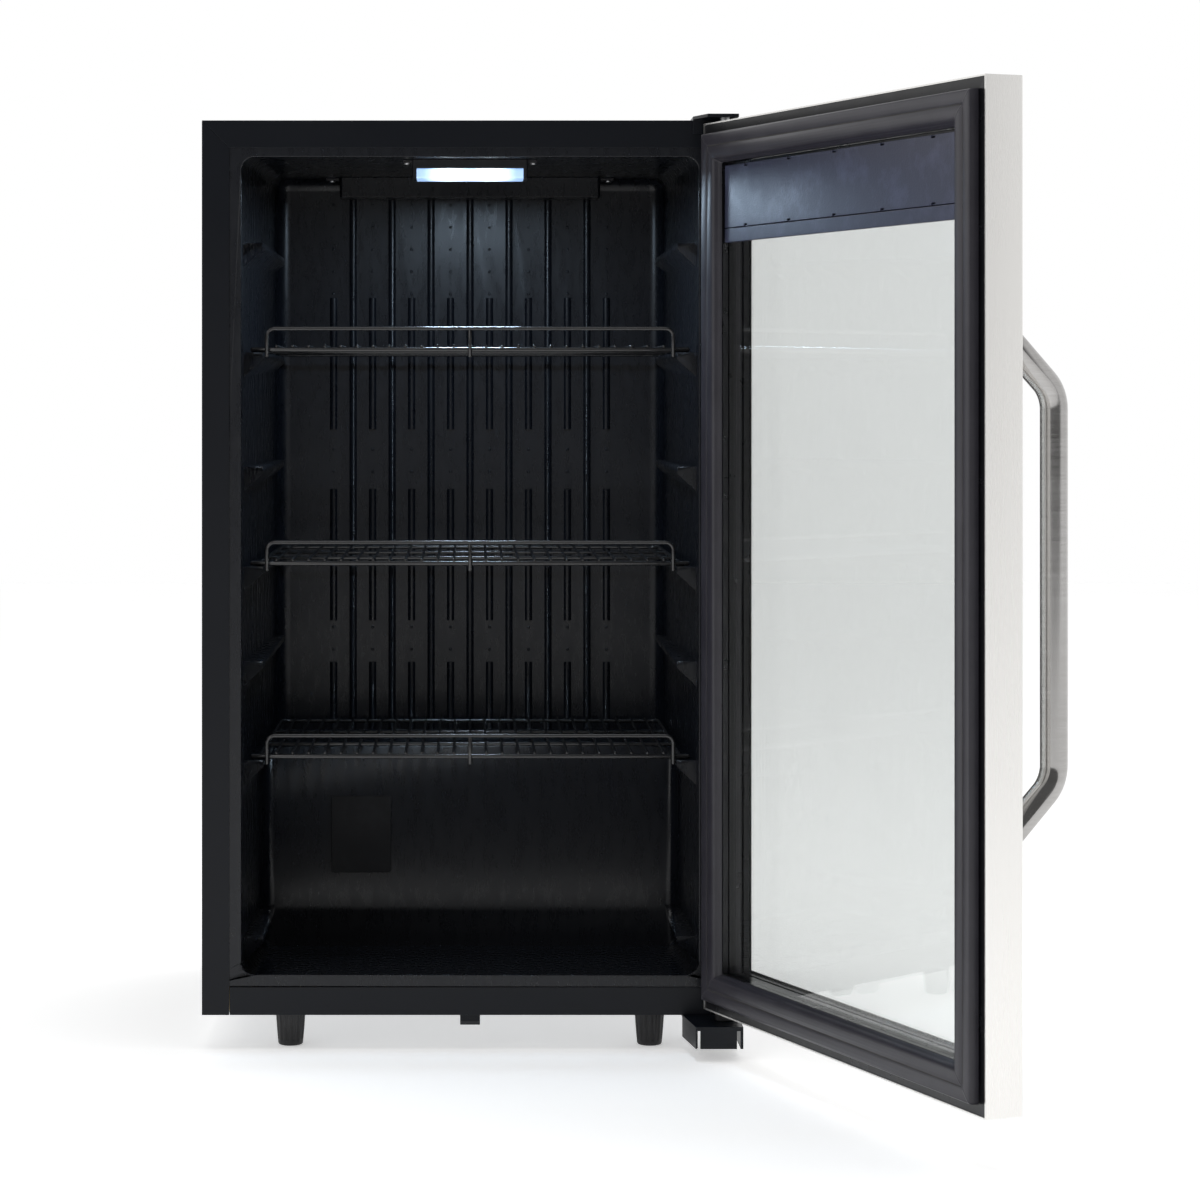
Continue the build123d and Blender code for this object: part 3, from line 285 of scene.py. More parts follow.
finishes["black_plastic"] = grained("grained_black_moulding", (0.011, 0.011, 0.012), 0.5, 1500, 0.05 * MM)
finishes["lamp_white"] = grained("satin_lamp_moulding", (0.012, 0.012, 0.014), 0.38, 2200, 0.02 * MM)
finishes["frame_plastic"] = grained("satin_frame_moulding", (0.0035, 0.0036, 0.005), 0.34, 1900, 0.015 * MM)
# the header moulding's pale bluish colour is partly painted light: it stands in for the cool lamp light the cover
# catches; its grain is its own
finishes["header_plastic"] = grained("grained_header_moulding", (0.03, 0.034, 0.062), 0.38, 750, 0.07 * MM)
# the hump's hatch is the liner's plastic; its darker colour is painted shade, to match the shaded hump wall round
# it, and its duller shine is its own roughness
hatch_painted_shade_finish = grained("dull_hatch_moulding", (0.004, 0.0046, 0.0064), 0.5, 1900, 0.01 * MM, 0.17)
finishes["black_rubber"] = grained("soft_black_rubber", (0.0095, 0.0095, 0.0105), 0.46, 2600, 0.015 * MM)
finishes["magnet"] = grained("ferrite", (0.03, 0.028, 0.027), 0.7, 900, 0.05 * MM)
finishes["iron"] = grained("cast_iron", (0.09, 0.085, 0.08), 0.75, 500, 0.25 * MM)
finishes["circuit_board"] = grained("solder_mask", (0.008, 0.05, 0.02), 0.35, 300, 0.05 * MM)
finishes["foam"] = grained("blown_foam", (0.62, 0.5, 0.27), 0.85, 420, 0.5 * MM)
print("mouldings", len(finishes))

# %% [markdown]
# ## Gasket rubber
#
# The gasket is a grey rubber with a faint bloom. Its four lengths are welded together at 45 degrees, and each
# weld is a fine raised line. The line lies where a point is as far from the door's side as from its end.

# %% Gasket rubber
gasket_rubber = Finish("soft_grey_rubber", Specular_IOR_Level=0.45)
turned = gasket_rubber.place((1, 1, 1), -swing)
centre = Matrix.Rotation(-swing, 4, "Z") @ opened @ door_middle
half = (door_box[1] - door_box[0]) / 2
sideways = gasket_rubber.node("SeparateXYZ", {}, {"Vector": turned}, output="X")
upwards = gasket_rubber.node("SeparateXYZ", {}, {"Vector": turned}, output="Z")
from_side = gasket_rubber.node("Math", {"operation": "ABSOLUTE"}, {0: sideways - centre.x}) - half.x
from_end = gasket_rubber.node("Math", {"operation": "ABSOLUTE"}, {0: upwards - centre.z}) - half.z
mitre = gasket_rubber.node("Math", {"operation": "ABSOLUTE"}, {0: from_side - from_end})
weld = gasket_rubber.between(mitre, 0.2 * MM, 0.9 * MM, 1.0, 0.0)
bloom = gasket_rubber.noise(30, detail=5, roughness=0.65)
fine_grain = gasket_rubber.noise(2400, detail=1)
gasket_rubber.use(
    Base_Color=gasket_rubber.blend(
        gasket_rubber.between(bloom, 0.4, 0.75), shade(0.026, 0.0245, 0.032), shade(0.036, 0.034, 0.043)
    ),
    Roughness=bloom * 0.12 + weld * 0.1 + 0.3,
    Normal=gasket_rubber.relief(fine_grain * 0.04 + weld, 0.35 * MM),
)
finishes["grey_rubber"] = gasket_rubber.material
print("gasket rubber ready")

# %% [markdown]
# ## Brushed stainless
#
# The door is wrapped in stainless steel that was brushed lengthwise, from bottom to top. Brushing leaves
# scratches hundreds of times longer than they are wide, so the noise is squeezed across the grain and left
# long along it. The same streaks drive the roughness, because a deeper scratch scatters more light.

# %% Brushed metals
def brushed(name, grain, colour, darker, turn=0.0, roughness=0.27, depth=0.012):
    finish = Finish(name, Metallic=1.0)
    fine = finish.noise(1.0, detail=3, roughness=0.6, place=finish.place(grain, turn))
    broad = finish.noise(1.0, detail=2, place=finish.place(tuple(g / 9 for g in grain), turn))
    cloud = finish.noise(5, detail=3)
    streak = finish.between(fine * 0.65 + broad * 0.35, 0.35, 0.66)
    tone = streak * 0.6 + finish.between(cloud, 0.3, 0.7) * 0.4
    finish.use(
        Base_Color=finish.blend(tone, shade(*darker), shade(*colour)),
        Roughness=streak * 0.06 + cloud * 0.16 + (roughness - 0.11),
        Normal=finish.relief(fine, depth * MM),
    )
    return finish.material


finishes["stainless"] = brushed(
    "brushed_stainless", (2600, 2600, 30), (0.87, 0.858, 0.835), (0.84, 0.828, 0.805), -swing, 0.27, 0.0015
)
polished = brushed(
    "polished_stainless", (120, 120, 3600), (0.5, 0.492, 0.485), (0.36, 0.35, 0.34), -swing, 0.13, 0.003
)
finishes["sheet_aluminium"] = brushed(
    "rolled_aluminium", (40, 1800, 1800), (0.8, 0.81, 0.82), (0.66, 0.67, 0.68)
)

print("brushed metals ready")

# %% [markdown]
# ## Zinc and copper
#
# The rear panel is galvanised: the zinc froze in flat crystals, each a little lighter or darker than the next,
# which is what a Voronoi pattern draws. The tubes are drawn copper, and they have started to tarnish.

# %% Zinc and copper
zinc = Finish("galvanised_sheet", Metallic=1.0)
crystal = zinc.node("TexVoronoi", {"feature": "F1"}, {"Scale": 85, "Vector": zinc.place()}, output="Color")
crystal_tone = zinc.node("SeparateColor", {}, {"Color": crystal})
stain = zinc.between(zinc.noise(14, detail=5), 0.5, 0.75)
zinc.use(
    Base_Color=zinc.blend(crystal_tone, shade(0.48, 0.49, 0.5), shade(0.58, 0.59, 0.6)),
    Roughness=crystal_tone * 0.12 + stain * 0.15 + 0.34,
    Normal=zinc.relief(zinc.noise(60, detail=3), 0.08 * MM),
)
finishes["zinc_steel"] = zinc.material

copper = Finish("drawn_copper", Metallic=1.0)
tarnish = copper.between(copper.noise(45, detail=5, roughness=0.65), 0.42, 0.7)
copper.use(
    Base_Color=copper.blend(tarnish, shade(0.78, 0.38, 0.22), shade(0.3, 0.15, 0.1)),
    Roughness=tarnish * 0.3 + 0.2,
    Normal=copper.relief(copper.noise(600), 0.02 * MM),
)
finishes["copper"] = copper.material
print("finishes so far", len(finishes))

# %% [markdown]
# ## Glass and light
#
# The door is a sealed unit of two panes. Each is real glass with both its faces, so at the door's angle the
# four faces together mirror a good part of the cabinet, and the white studio shows through the rest.
# The lamp's lens is milky, and two bright spots show where its diodes sit.

# %% Glass
glass = Finish("float_glass", Transmission_Weight=1.0, IOR=1.5)
smear = glass.between(glass.noise(9, detail=5, roughness=0.7), 0.55, 0.85)
glass.use(
    Base_Color=glass.blend(smear, shade(0.955, 0.97, 0.964), shade(0.935, 0.95, 0.944)),
    Roughness=smear * 0.02,
)
finishes["clear_glass"] = glass.material
print("glass ready")

# %% Lens
lens_low, lens_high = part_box("lamp_lens")
diode_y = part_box("lamp_board")[0].y + 8 * MM
diode_x = (lens_high.x - lens_low.x) / 5
lens = Finish("lit_lens", Emission_Strength=5.0, Roughness=0.35, Transmission_Weight=0.2)
across = lens.node("SeparateXYZ", {}, {"Vector": lens.place()}, output="X")
inward = lens.node("SeparateXYZ", {}, {"Vector": lens.place()}, output="Y")
glow = None
for side in (-1, 1):
    off_x = (across - side * diode_x) / (9 * MM)
    off_y = (inward - diode_y) / (16 * MM)
    spot = 1 / (1 + (off_x * off_x + off_y * off_y) * 1.5)
    glow = spot if glow is None else glow + spot
haze = lens.noise(220, detail=2)
lens.use(
    Base_Color=lens.blend(haze, shade(0.55, 0.62, 0.7), shade(0.7, 0.76, 0.82)),
    Emission_Color=lens.blend(lens.between(glow, 0.1, 0.9), shade(0.05, 0.08, 0.13), shade(0.8, 0.92, 1.0)),
)
finishes["lamp_glow"] = lens.material
print("lens glows at x", [round(side * diode_x, 4) for side in (-1, 1)])

# %% Finishes on the measured parts
for node, piece in nodes.items():
    piece.data.materials.clear()
    piece.data.materials.append(finishes[slot_of[node]])
print("finishes on", len(nodes), "nodes")


# %% [markdown]
# ## Helpers for modelling
#
# Most pieces are made the same way: deselect all, add a primitive, shape it in edit mode, then apply its
# modifiers. Faces are picked in code by where they are. When a piece is finished it gets its finish, rides
# on its body and stands in for the plain CAD solid.

# %% Modelling helpers
def only(piece):
    bpy.ops.object.select_all(action="DESELECT")
    piece.select_set(True)
    bpy.context.view_layer.objects.active = piece


def settle(piece):
    """Puts the piece's place into its mesh."""
    only(piece)
    bpy.ops.object.transform_apply(location=True, rotation=True, scale=True)
    return piece


def modify(piece, kind, **settings):
    only(piece)
    modifier = piece.modifiers.new(kind.lower(), kind)
    for key, value in settings.items():
        setattr(modifier, key, value)
    bpy.ops.object.modifier_apply(modifier=modifier.name)
    return piece


def smooth(piece, degrees=35):
    only(piece)
    bpy.ops.object.shade_smooth_by_angle(angle=math.radians(degrees))
    return piece


def pick(piece, wanted, kind="faces"):
    """Selects, in edit mode, the faces or vertices that wanted says yes to."""
    shape = bmesh.from_edit_mesh(piece.data)
    for item in (*shape.verts, *shape.edges, *shape.faces):
        item.select_set(False)
    for item in getattr(shape, kind):
        if wanted(item):
            item.select_set(True)
    shape.select_flush(True)
    bmesh.update_edit_mesh(piece.data)


def join(name, pieces):
    bpy.ops.object.select_all(action="DESELECT")
    for piece in pieces:
        piece.select_set(True)
    bpy.context.view_layer.objects.active = pieces[0]
    if len(pieces) > 1:
        bpy.ops.object.join()
    pieces[0].name = name
    return pieces[0]


def block(name, low, high):
    """A box between two corners, to be shaped further."""
    low, high = Vector(low), Vector(high)
    bpy.ops.object.select_all(action="DESELECT")
    bpy.ops.mesh.primitive_cube_add(size=1, location=(low + high) / 2)
    piece = bpy.context.object
    piece.scale = high - low
    piece.name = name
    return settle(piece)


def stand_in(piece, *replaced):
    """Gives a finished piece its finish and its body, and hides the CAD solids that it stands for."""
    slot = slot_of[replaced[0]]
    piece.data.materials.clear()
    piece.data.materials.append(finishes[slot])
    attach(piece, body_of[replaced[0]])
    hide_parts(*replaced)
    return piece


def soften(node, width):
    """A copy of a CAD piece whose sharp edges are rounded, as folding or moulding leaves them."""
    mesh = nodes[node].data.copy()
    piece = bpy.data.objects.new(node + "_rounded", mesh)
    bpy.context.scene.collection.objects.link(piece)
    only(piece)
    bpy.ops.object.mode_set(mode="EDIT")
    bpy.ops.mesh.select_all(action="SELECT")
    bpy.ops.mesh.remove_doubles(threshold=0.002 * MM)
    bpy.ops.mesh.dissolve_limited(angle_limit=math.radians(0.5))
    bpy.ops.object.mode_set(mode="OBJECT")
    smooth(piece)
    modify(
        piece,
        "BEVEL",
        width=width,
        segments=2,
        limit_method="ANGLE",
        angle_limit=math.radians(32),
        use_clamp_overlap=True,
        miter_outer="MITER_ARC",
        harden_normals=True,
    )
    return stand_in(piece, node)


print("helpers ready")

# %% [markdown]
# ## Folded and moulded pieces
#
# Nothing made of sheet or plastic has a perfectly sharp edge, and a thin bright line along each fold is
# what tells the eye how thick the material is. The bends are too fine to be worth drawing one by one, so
# these pieces are copies of the measured solids with every sharp edge rounded by what its maker would leave.

# %% Rounded copies
fold_radius = {
    "left_side_panel": 0.35,
    "right_side_panel": 0.35,
    "top_panel": 0.35,
    "bottom_front_rail": 0.9,
    "top_hinge_bracket": 0.7,
    "bottom_hinge_bracket": 0.9,
    "front_clip": 0.4,
    "lamp_housing": 0.6,
    "ceiling_duct_cover": 0.8,
    "hump_cover": 0.4,
    "header_cover": 0.5,
    "door_frame": 0.5,
    "door_skin": 0.45,
    "terminal_box": 1.0,
    "relay_cover": 1.0,
    "compressor_deck": 0.4,
    "compartment_panel": 0.8,
    "rear_feet": 1.2,
    "hinge_spacer": 0.8,
}
for node, radius in fold_radius.items():
    rounded = soften(node, radius * MM)
    print(rounded.name, len(rounded.data.polygons), "faces")
# the hatch takes the darker finish: painted shade, to match the hump wall round it
bpy.data.objects["hump_cover_rounded"].data.materials[0] = hatch_painted_shade_finish

# %% [markdown]
# ## The liner's lip
#
# Of the liner only the lip round its opening is rounded, because that is the edge the eye follows round the
# whole front. The other edges are moulded round already.

# %% Liner lip
lip = bpy.data.objects.new("liner_with_lip", nodes["inner_liner"].data.copy())
bpy.context.scene.collection.objects.link(lip)
lip_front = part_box("inner_liner")[0].y
only(lip)
bpy.ops.object.mode_set(mode="EDIT")
bpy.ops.mesh.select_all(action="SELECT")
bpy.ops.mesh.remove_doubles(threshold=0.002 * MM)
bpy.ops.object.mode_set(mode="OBJECT")
smooth(lip)
# the opening lies well inside these limits, and the liner's outer edge lies outside them
opening_half, opening_low, opening_high = 0.21, 0.05, 0.795
sharp = 0.8
bpy.ops.object.mode_set(mode="EDIT")


def on_lip(edge):
    at_front = all(vertex.co.y < lip_front + 0.1 * MM for vertex in edge.verts)
    middle = (edge.verts[0].co + edge.verts[1].co) / 2
    inside = abs(middle.x) < opening_half and opening_low < middle.z < opening_high
    return at_front and inside and len(edge.link_faces) == 2 and edge.calc_face_angle(0) > sharp


pick(lip, on_lip, "edges")
bpy.ops.mesh.bevel(offset=0.9 * MM, segments=3, affect="EDGES")
bpy.ops.object.mode_set(mode="OBJECT")
smooth(lip)
modify(lip, "WEIGHTED_NORMAL", keep_sharp=True, weight=100)
stand_in(lip, "inner_liner")
print("liner", len(lip.data.polygons), "faces")

# %% [markdown]
# ## The gasket
#
# The gasket is one soft extrusion welded at its corners. It starts as a plane the size of the ring and is
# inset again and again, each time a little further in and a little up or down, so every step of the section
# runs round all four sides and the corners come out mitred. The middle is then cut out and the back closed.

# %% Gasket
ring_low, ring_high = shut_box("door_gasket")
ring_place = ((ring_low.x + ring_high.x) / 2, door_back, (ring_low.z + ring_high.z) / 2)
bpy.ops.object.select_all(action="DESELECT")
bpy.ops.mesh.primitive_plane_add(size=1, location=ring_place, rotation=(math.radians(-90), 0, 0))
gasket = bpy.context.object
gasket.name = "gasket_ring"
gasket.scale = (ring_high.x - ring_low.x, ring_high.z - ring_low.z, 1)
settle(gasket)
# the section from the outer edge inwards: millimetres across, and millimetres above the door
section = [
    (0.1, 1.0), (0.2, 5.4), (0.6, 7.0), (1.4, 7.8), (2.8, 8.1), (6.0, 8.1), (9.6, 7.8), (10.8, 7.2),
    (11.4, 7.0), (12.2, 7.4), (13.6, 8.1), (15.6, 8.4), (18.4, 8.4), (20.6, 8.1), (22.2, 7.4), (23.4, 6.2),
    (24.0, 4.8), (24.3, 3.4), (25.0, 2.6), (25.8, 1.4), (26.3, 0.0),
]
only(gasket)
bpy.ops.object.mode_set(mode="EDIT")
bpy.ops.mesh.select_all(action="SELECT")
across, above = 0.0, 0.0
for next_across, next_above in section:
    bpy.ops.mesh.inset(thickness=(next_across - across) * MM, depth=(next_above - above) * MM)
    across, above = next_across, next_above
bpy.ops.mesh.delete(type="FACE")
pick(gasket, lambda edge: edge.is_boundary, "edges")
bpy.ops.mesh.bridge_edge_loops()
bpy.ops.mesh.select_all(action="SELECT")
bpy.ops.mesh.normals_make_consistent(inside=False)
bpy.ops.object.mode_set(mode="OBJECT")
smooth(gasket, 40)
stand_in(swing_open(gasket), "door_gasket")
print("gasket", len(gasket.data.polygons), "faces")

# %% [markdown]
# ## Behind the header cover
#
# The cover's notches and its seam are made to read as dark lines by a near-black sheet put behind them on the
# glass:
# painted shade, standing in for the shade in those gaps. It is a thin plate with its edges taken off, and it also
# fills the gap round the cover.

# %% The header's sheet of painted shade
cover_low, cover_high = shut_box("header_cover")
board_back = shut_box("control_board")[0].y
reach = 2.8 * MM
sheet_low = (cover_low.x - reach, cover_low.y + 0.05 * MM, cover_low.z + 0.8 * MM)
sheet_high = (cover_high.x + reach, board_back - 0.1 * MM, cover_high.z + reach)
# a near-black sheet behind the notches and round the seam: painted shade
painted_shade_sheet = block("header_backing", sheet_low, sheet_high)
bpy.ops.object.mode_set(mode="EDIT")
pick(painted_shade_sheet, lambda face: face.normal.y > 0.9)
bpy.ops.mesh.inset(thickness=0.8 * MM)
bpy.ops.object.mode_set(mode="OBJECT")
modify(painted_shade_sheet, "BEVEL", width=0.1 * MM, segments=1, limit_method="ANGLE", angle_limit=math.radians(60))
swing_open(smooth(painted_shade_sheet))
painted_shade_sheet.data.materials.append(finishes["frame_plastic"])
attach(painted_shade_sheet, "door")
print("header painted shade sheet", len(painted_shade_sheet.data.polygons), "faces")

# %% [markdown]
# ## Bent wire and tube
#
# The handle, the shelves and their rails are all round stock that goes straight, bends, and goes straight
# again. So one helper takes a ring, extrudes it along every straight and spins it round every bend. The ends
# are closed, and a bevel takes off the burr.

# %% Tube helper
def tube(name, radius, start, heading, moves, sides=16, burr=0.4):
    """moves holds lengths for the straights and (degrees, axis, bend radius) for the bends."""
    place, heading = Vector(start), Vector(heading).normalized()
    bpy.ops.object.select_all(action="DESELECT")
    facing = heading.to_track_quat("Z", "Y").to_euler()
    bpy.ops.mesh.primitive_circle_add(vertices=sides, radius=radius, location=place, rotation=facing)
    piece = bpy.context.object
    piece.name = name
    settle(piece)
    only(piece)
    bpy.ops.object.mode_set(mode="EDIT")
    bpy.ops.mesh.select_all(action="SELECT")
    for move in moves:
        if isinstance(move, tuple):
            degrees, axis, bend = move
            axis = Vector(axis)
            centre = place + axis.cross(heading) * bend
            turn = Matrix.Rotation(math.radians(degrees), 3, axis)
            steps = max(4, round(degrees / 6))
            bpy.ops.mesh.spin(steps=steps, angle=-math.radians(degrees), center=centre, axis=axis)
            place, heading = centre + turn @ (place - centre), turn @ heading
        else:
            bpy.ops.mesh.extrude_region_move(TRANSFORM_OT_translate={"value": heading * move})
            place = place + heading * move
    bpy.ops.mesh.select_all(action="SELECT")
    bpy.ops.mesh.remove_doubles(threshold=0.005 * MM)
    bpy.ops.mesh.fill_holes(sides=0)
    bpy.ops.mesh.normals_make_consistent(inside=False)
    bpy.ops.object.mode_set(mode="OBJECT")
    if burr:
        edge = math.radians(60)
        modify(piece, "BEVEL", width=radius * burr, segments=2, limit_method="ANGLE", angle_limit=edge)
    return smooth(piece, 50)


def twin(piece, offset):
    """A copy with a mesh of its own, moved by offset."""
    copied = piece.copy()
    copied.data = piece.data.copy()
    bpy.context.scene.collection.objects.link(copied)
    copied.location = Vector(copied.location) + Vector(offset)
    return settle(copied)


# %% [markdown]
# ## The handle
#
# The handle is a stainless tube on two sloping legs. It is swept past the door's face at both ends and then
# cut off flush with it.

# %% Handle
handle_low, handle_high = shut_box("handle_bar")
handle_radius = (handle_high.x - handle_low.x) / 2
handle_x = (handle_high.x + handle_low.x) / 2
standoff = door_face - handle_low.y - handle_radius
slope = math.sqrt(0.5)
foot_low = handle_low.z + handle_radius / slope
foot_high = handle_high.z - handle_radius / slope
handle_bend = 30 * MM
tangent = handle_bend * math.tan(math.radians(22.5))
sunk = handle_radius * slope
leg = standoff / slope + handle_radius - tangent  # long enough to pass through the door's face
bar = foot_high - foot_low - 2 * standoff - 2 * tangent
sweep_start = (handle_x, door_face + sunk, foot_low - sunk)
bend = (45, (-1, 0, 0), handle_bend)
handle = tube("bar_handle", handle_radius, sweep_start, (0, -1, 1), [leg, bend, bar, bend, leg], 48, 0)
bpy.ops.object.mode_set(mode="EDIT")
bpy.ops.mesh.select_all(action="SELECT")
bpy.ops.mesh.bisect(plane_co=(0, door_face, 0), plane_no=(0, 1, 0), clear_outer=True, use_fill=True)
bpy.ops.object.mode_set(mode="OBJECT")
modify(handle, "BEVEL", width=0.25 * MM, segments=2, limit_method="ANGLE", angle_limit=math.radians(40))
smooth(handle, 40)
stand_in(swing_open(handle), "handle_bar")
handle.data.materials[0] = polished
print("handle", [round(v * 1000, 1) for v in (standoff, leg, bar)], len(handle.data.polygons), "faces")

# %% [markdown]
# ## The shelves
#
# A shelf is a grid: one thick wire bent round three sides, a thicker one across the front, two crossbars, and
# thin wires welded on top from front to back. The thin ones are modelled once and copied. The rail is a
# second bent wire with one post in its middle. The top shelf is made first, and the others are copies of it.

# %% One shelf deck
deck_low, deck_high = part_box("shelf_1_deck")
rail_low, rail_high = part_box("shelf_1_rail")
front_wire = 2.2 * MM
side_wire = 1.98 * MM
cross_wire = 1.3 * MM
rail_wire = (rail_high.y - rail_low.y) / 2
wire_z = deck_low.z + front_wire
wire_front = deck_low.y + front_wire
wire_rear = deck_high.y - side_wire
deck_half = deck_high.x - 9 * MM
corner = 8.8 * MM
run = wire_rear - wire_front + 1 * MM - corner
u_bend = (90, (0, 0, -1), corner)
frame_wire = tube(
    "deck_frame", side_wire, (-deck_half, wire_front - 1 * MM, wire_z), (0, 1, 0),
    [run, u_bend, 2 * (deck_half - corner), u_bend, run],
)
pieces = [frame_wire]
deck_width = deck_high.x - deck_low.x
pieces.append(
    tube("deck_front", front_wire, (deck_low.x, wire_front, wire_z), (1, 0, 0), [deck_width], 16, 0.85)
)
for share in (1 / 3, 2 / 3):
    bar_start = (-deck_half, wire_front + share * (wire_rear - wire_front), wire_z - 0.3 * MM)
    pieces.append(tube("deck_bar", 0.8 * front_wire, bar_start, (1, 0, 0), [2 * deck_half], 12))
thin_wires = 25
pitch = 2 * deck_half / (thin_wires + 1)
thin_z = deck_high.z - cross_wire
thin = tube(
    "deck_wire", cross_wire, (-deck_half + pitch, wire_front - 1.5 * MM, thin_z), (0, 1, 0),
    [wire_rear - wire_front + 3 * MM], 10, 0.6,
)
pieces.append(thin)
for index in range(1, thin_wires):
    pieces.append(twin(thin, (index * pitch, 0, 0)))
deck = join("wire_deck_1", pieces)
print("deck", len(deck.data.polygons), "faces")

# %% Its rail
rail_y = (rail_low.y + rail_high.y) / 2
rail_half = rail_high.x - rail_wire
rail_corner = 7 * MM
post_height = rail_high.z - rail_wire - rail_low.z
rail_rise = rail_high.z - rail_wire - rail_low.z - rail_corner
rail_bend = (90, (0, 1, 0), rail_corner)
rail_pieces = [
    tube(
        "rail_wire", rail_wire, (-rail_half, rail_y, rail_low.z), (0, 0, 1),
        [rail_rise, rail_bend, 2 * (rail_half - rail_corner), rail_bend, rail_rise], 16, 0.6,
    ),
    tube("rail_post", rail_wire, (0, rail_y, rail_low.z), (0, 0, 1), [post_height], 16, 0.6),
]
rail = join("wire_rail_1", rail_pieces)
print("rail", len(rail.data.polygons), "faces")

# %% The other two shelves
for number in (2, 3):
    drop = (0, 0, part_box(f"shelf_{number}_deck")[0].z - deck_low.z)
    for piece, kind in ((deck, "deck"), (rail, "rail")):
        lower = twin(piece, drop)
        lower.name = f"wire_{kind}_{number}"
        stand_in(smooth(lower, 50), f"shelf_{number}_{kind}")
stand_in(smooth(deck, 50), "shelf_1_deck")
stand_in(smooth(rail, 50), "shelf_1_rail")

# %% [markdown]
# ## Levelling feet
#
# A foot is a moulded cone with fourteen flutes for the fingers. It is drawn as a disc that is extruded ring by
# ring up its section. The verts of the flutes are then drawn in towards the axis.

# %% Feet
flutes = 14
flute_low, flute_high = 5.0, 28.9  # millimetres above the floor


def levelling_foot(node):
    low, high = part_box(node)
    centre = (low + high) / 2
    bpy.ops.object.select_all(action="DESELECT")
    bpy.ops.mesh.primitive_circle_add(
        vertices=flutes * 6, radius=9.2 * MM, fill_type="NGON", location=(centre.x, centre.y, low.z)
    )
    foot = bpy.context.object
    foot.name = node + "_moulded"
    settle(foot)
    bpy.ops.object.mode_set(mode="EDIT")
    bpy.ops.mesh.select_all(action="SELECT")
    radius, height = 9.2, 0.0
    # each ring's radius and its height above the floor, in millimetres
    section = [(10.3, 0.4), (10.9, 1.3), (11.1, 2.6), (11.2, 4.6), (11.4, 5.4), (12.3, 16.0), (13.1, 28.2)]
    section += [(13.2, 28.8), (13.0, 29.4), (4.2, 29.5), (4.0, 29.8), (4.0, 42.6), (3.4, 43.4)]
    for next_radius, next_height in section:
        bpy.ops.mesh.extrude_region_move(TRANSFORM_OT_translate={"value": (0, 0, (next_height - height) * MM)})
        grow = next_radius / radius
        here = (centre.x, centre.y, low.z + next_height * MM)
        bpy.ops.transform.resize(value=(grow, grow, 1), center_override=here)
        radius, height = next_radius, next_height

    def in_flute(vertex, reach):
        away = math.atan2(vertex.co.y - centre.y, vertex.co.x - centre.x) * flutes / math.tau
        rise = (vertex.co.z - low.z) / MM
        return abs(away - round(away)) < reach and flute_low < rise < flute_high

    for reach, tuck in ((0.2, 0.955), (0.05, 0.965)):
        pick(foot, lambda vertex: in_flute(vertex, reach), "verts")
        bpy.ops.transform.resize(value=(tuck, tuck, 1), center_override=centre)
    bpy.ops.object.mode_set(mode="OBJECT")
    smooth(foot, 28)
    return stand_in(foot, node)


for node in ("front_left_foot", "front_right_foot"):
    print(levelling_foot(node).name)

# %% [markdown]
# ## Screws
#
# Every screw that shows is a pan head with a cross driven into it. The head is a disc extruded and drawn in
# three times; the cross is two small wedges taken away from it.

# %% Where the screws are
def islands(node):
    """The box of each separate solid in a CAD piece."""
    shape = bmesh.new()
    shape.from_mesh(nodes[node].data)
    bmesh.ops.remove_doubles(shape, verts=shape.verts, dist=0.002 * MM)
    left, boxes = set(shape.verts), []
    while left:
        group, edge = set(), [left.pop()]
        while edge:
            vertex = edge.pop()
            group.add(vertex)
            near = {link.other_vert(vertex) for link in vertex.link_edges} & left
            left -= near
            edge.extend(near)
        places = [vertex.co.copy() for vertex in group]
        boxes.append([Vector([end(p[axis] for p in places) for axis in range(3)]) for end in (min, max)])
    shape.free()
    return boxes


print("screws to draw", len(islands("hinge_screws")) + len(islands("liner_screws")))


# %% One pan head
def pan_head(name, radius, height, shank, length):
    """A screw that points down, with the seat of its head at the origin."""
    bpy.ops.object.select_all(action="DESELECT")
    bpy.ops.mesh.primitive_circle_add(vertices=32, radius=radius, fill_type="NGON")
    screw = bpy.context.object
    screw.name = name
    bpy.ops.object.mode_set(mode="EDIT")
    bpy.ops.mesh.select_all(action="SELECT")
    rise = 0
    for share, narrower in ((0.45, 1.0), (0.72, 0.95), (0.9, 0.86), (1.0, 0.7)):
        bpy.ops.mesh.extrude_region_move(TRANSFORM_OT_translate={"value": (0, 0, (share - rise) * height)})
        bpy.ops.transform.resize(value=(narrower, narrower, 1), center_override=(0, 0, share * height))
        rise = share
    pick(screw, lambda face: face.calc_center_median().z < 0.01 * height and len(face.verts) > 4)
    bpy.ops.mesh.inset(thickness=radius - shank)
    bpy.ops.mesh.extrude_region_move(TRANSFORM_OT_translate={"value": (0, 0, -length)})
    bpy.ops.mesh.select_all(action="SELECT")
    bpy.ops.mesh.normals_make_consistent(inside=False)
    bpy.ops.object.mode_set(mode="OBJECT")
    wide, narrow, deep = 0.5 * radius, 0.1 * radius, 0.5 * height
    cutters = [
        block("cross", (-wide, -narrow, deep), (wide, narrow, 2 * height)),
        block("cross", (-narrow, -wide, deep), (narrow, wide, 2 * height)),
    ]
    for cutter in cutters:
        modify(screw, "BOOLEAN", operation="DIFFERENCE", object=cutter, solver="EXACT")
        bpy.data.objects.remove(cutter)
    return smooth(screw, 28)


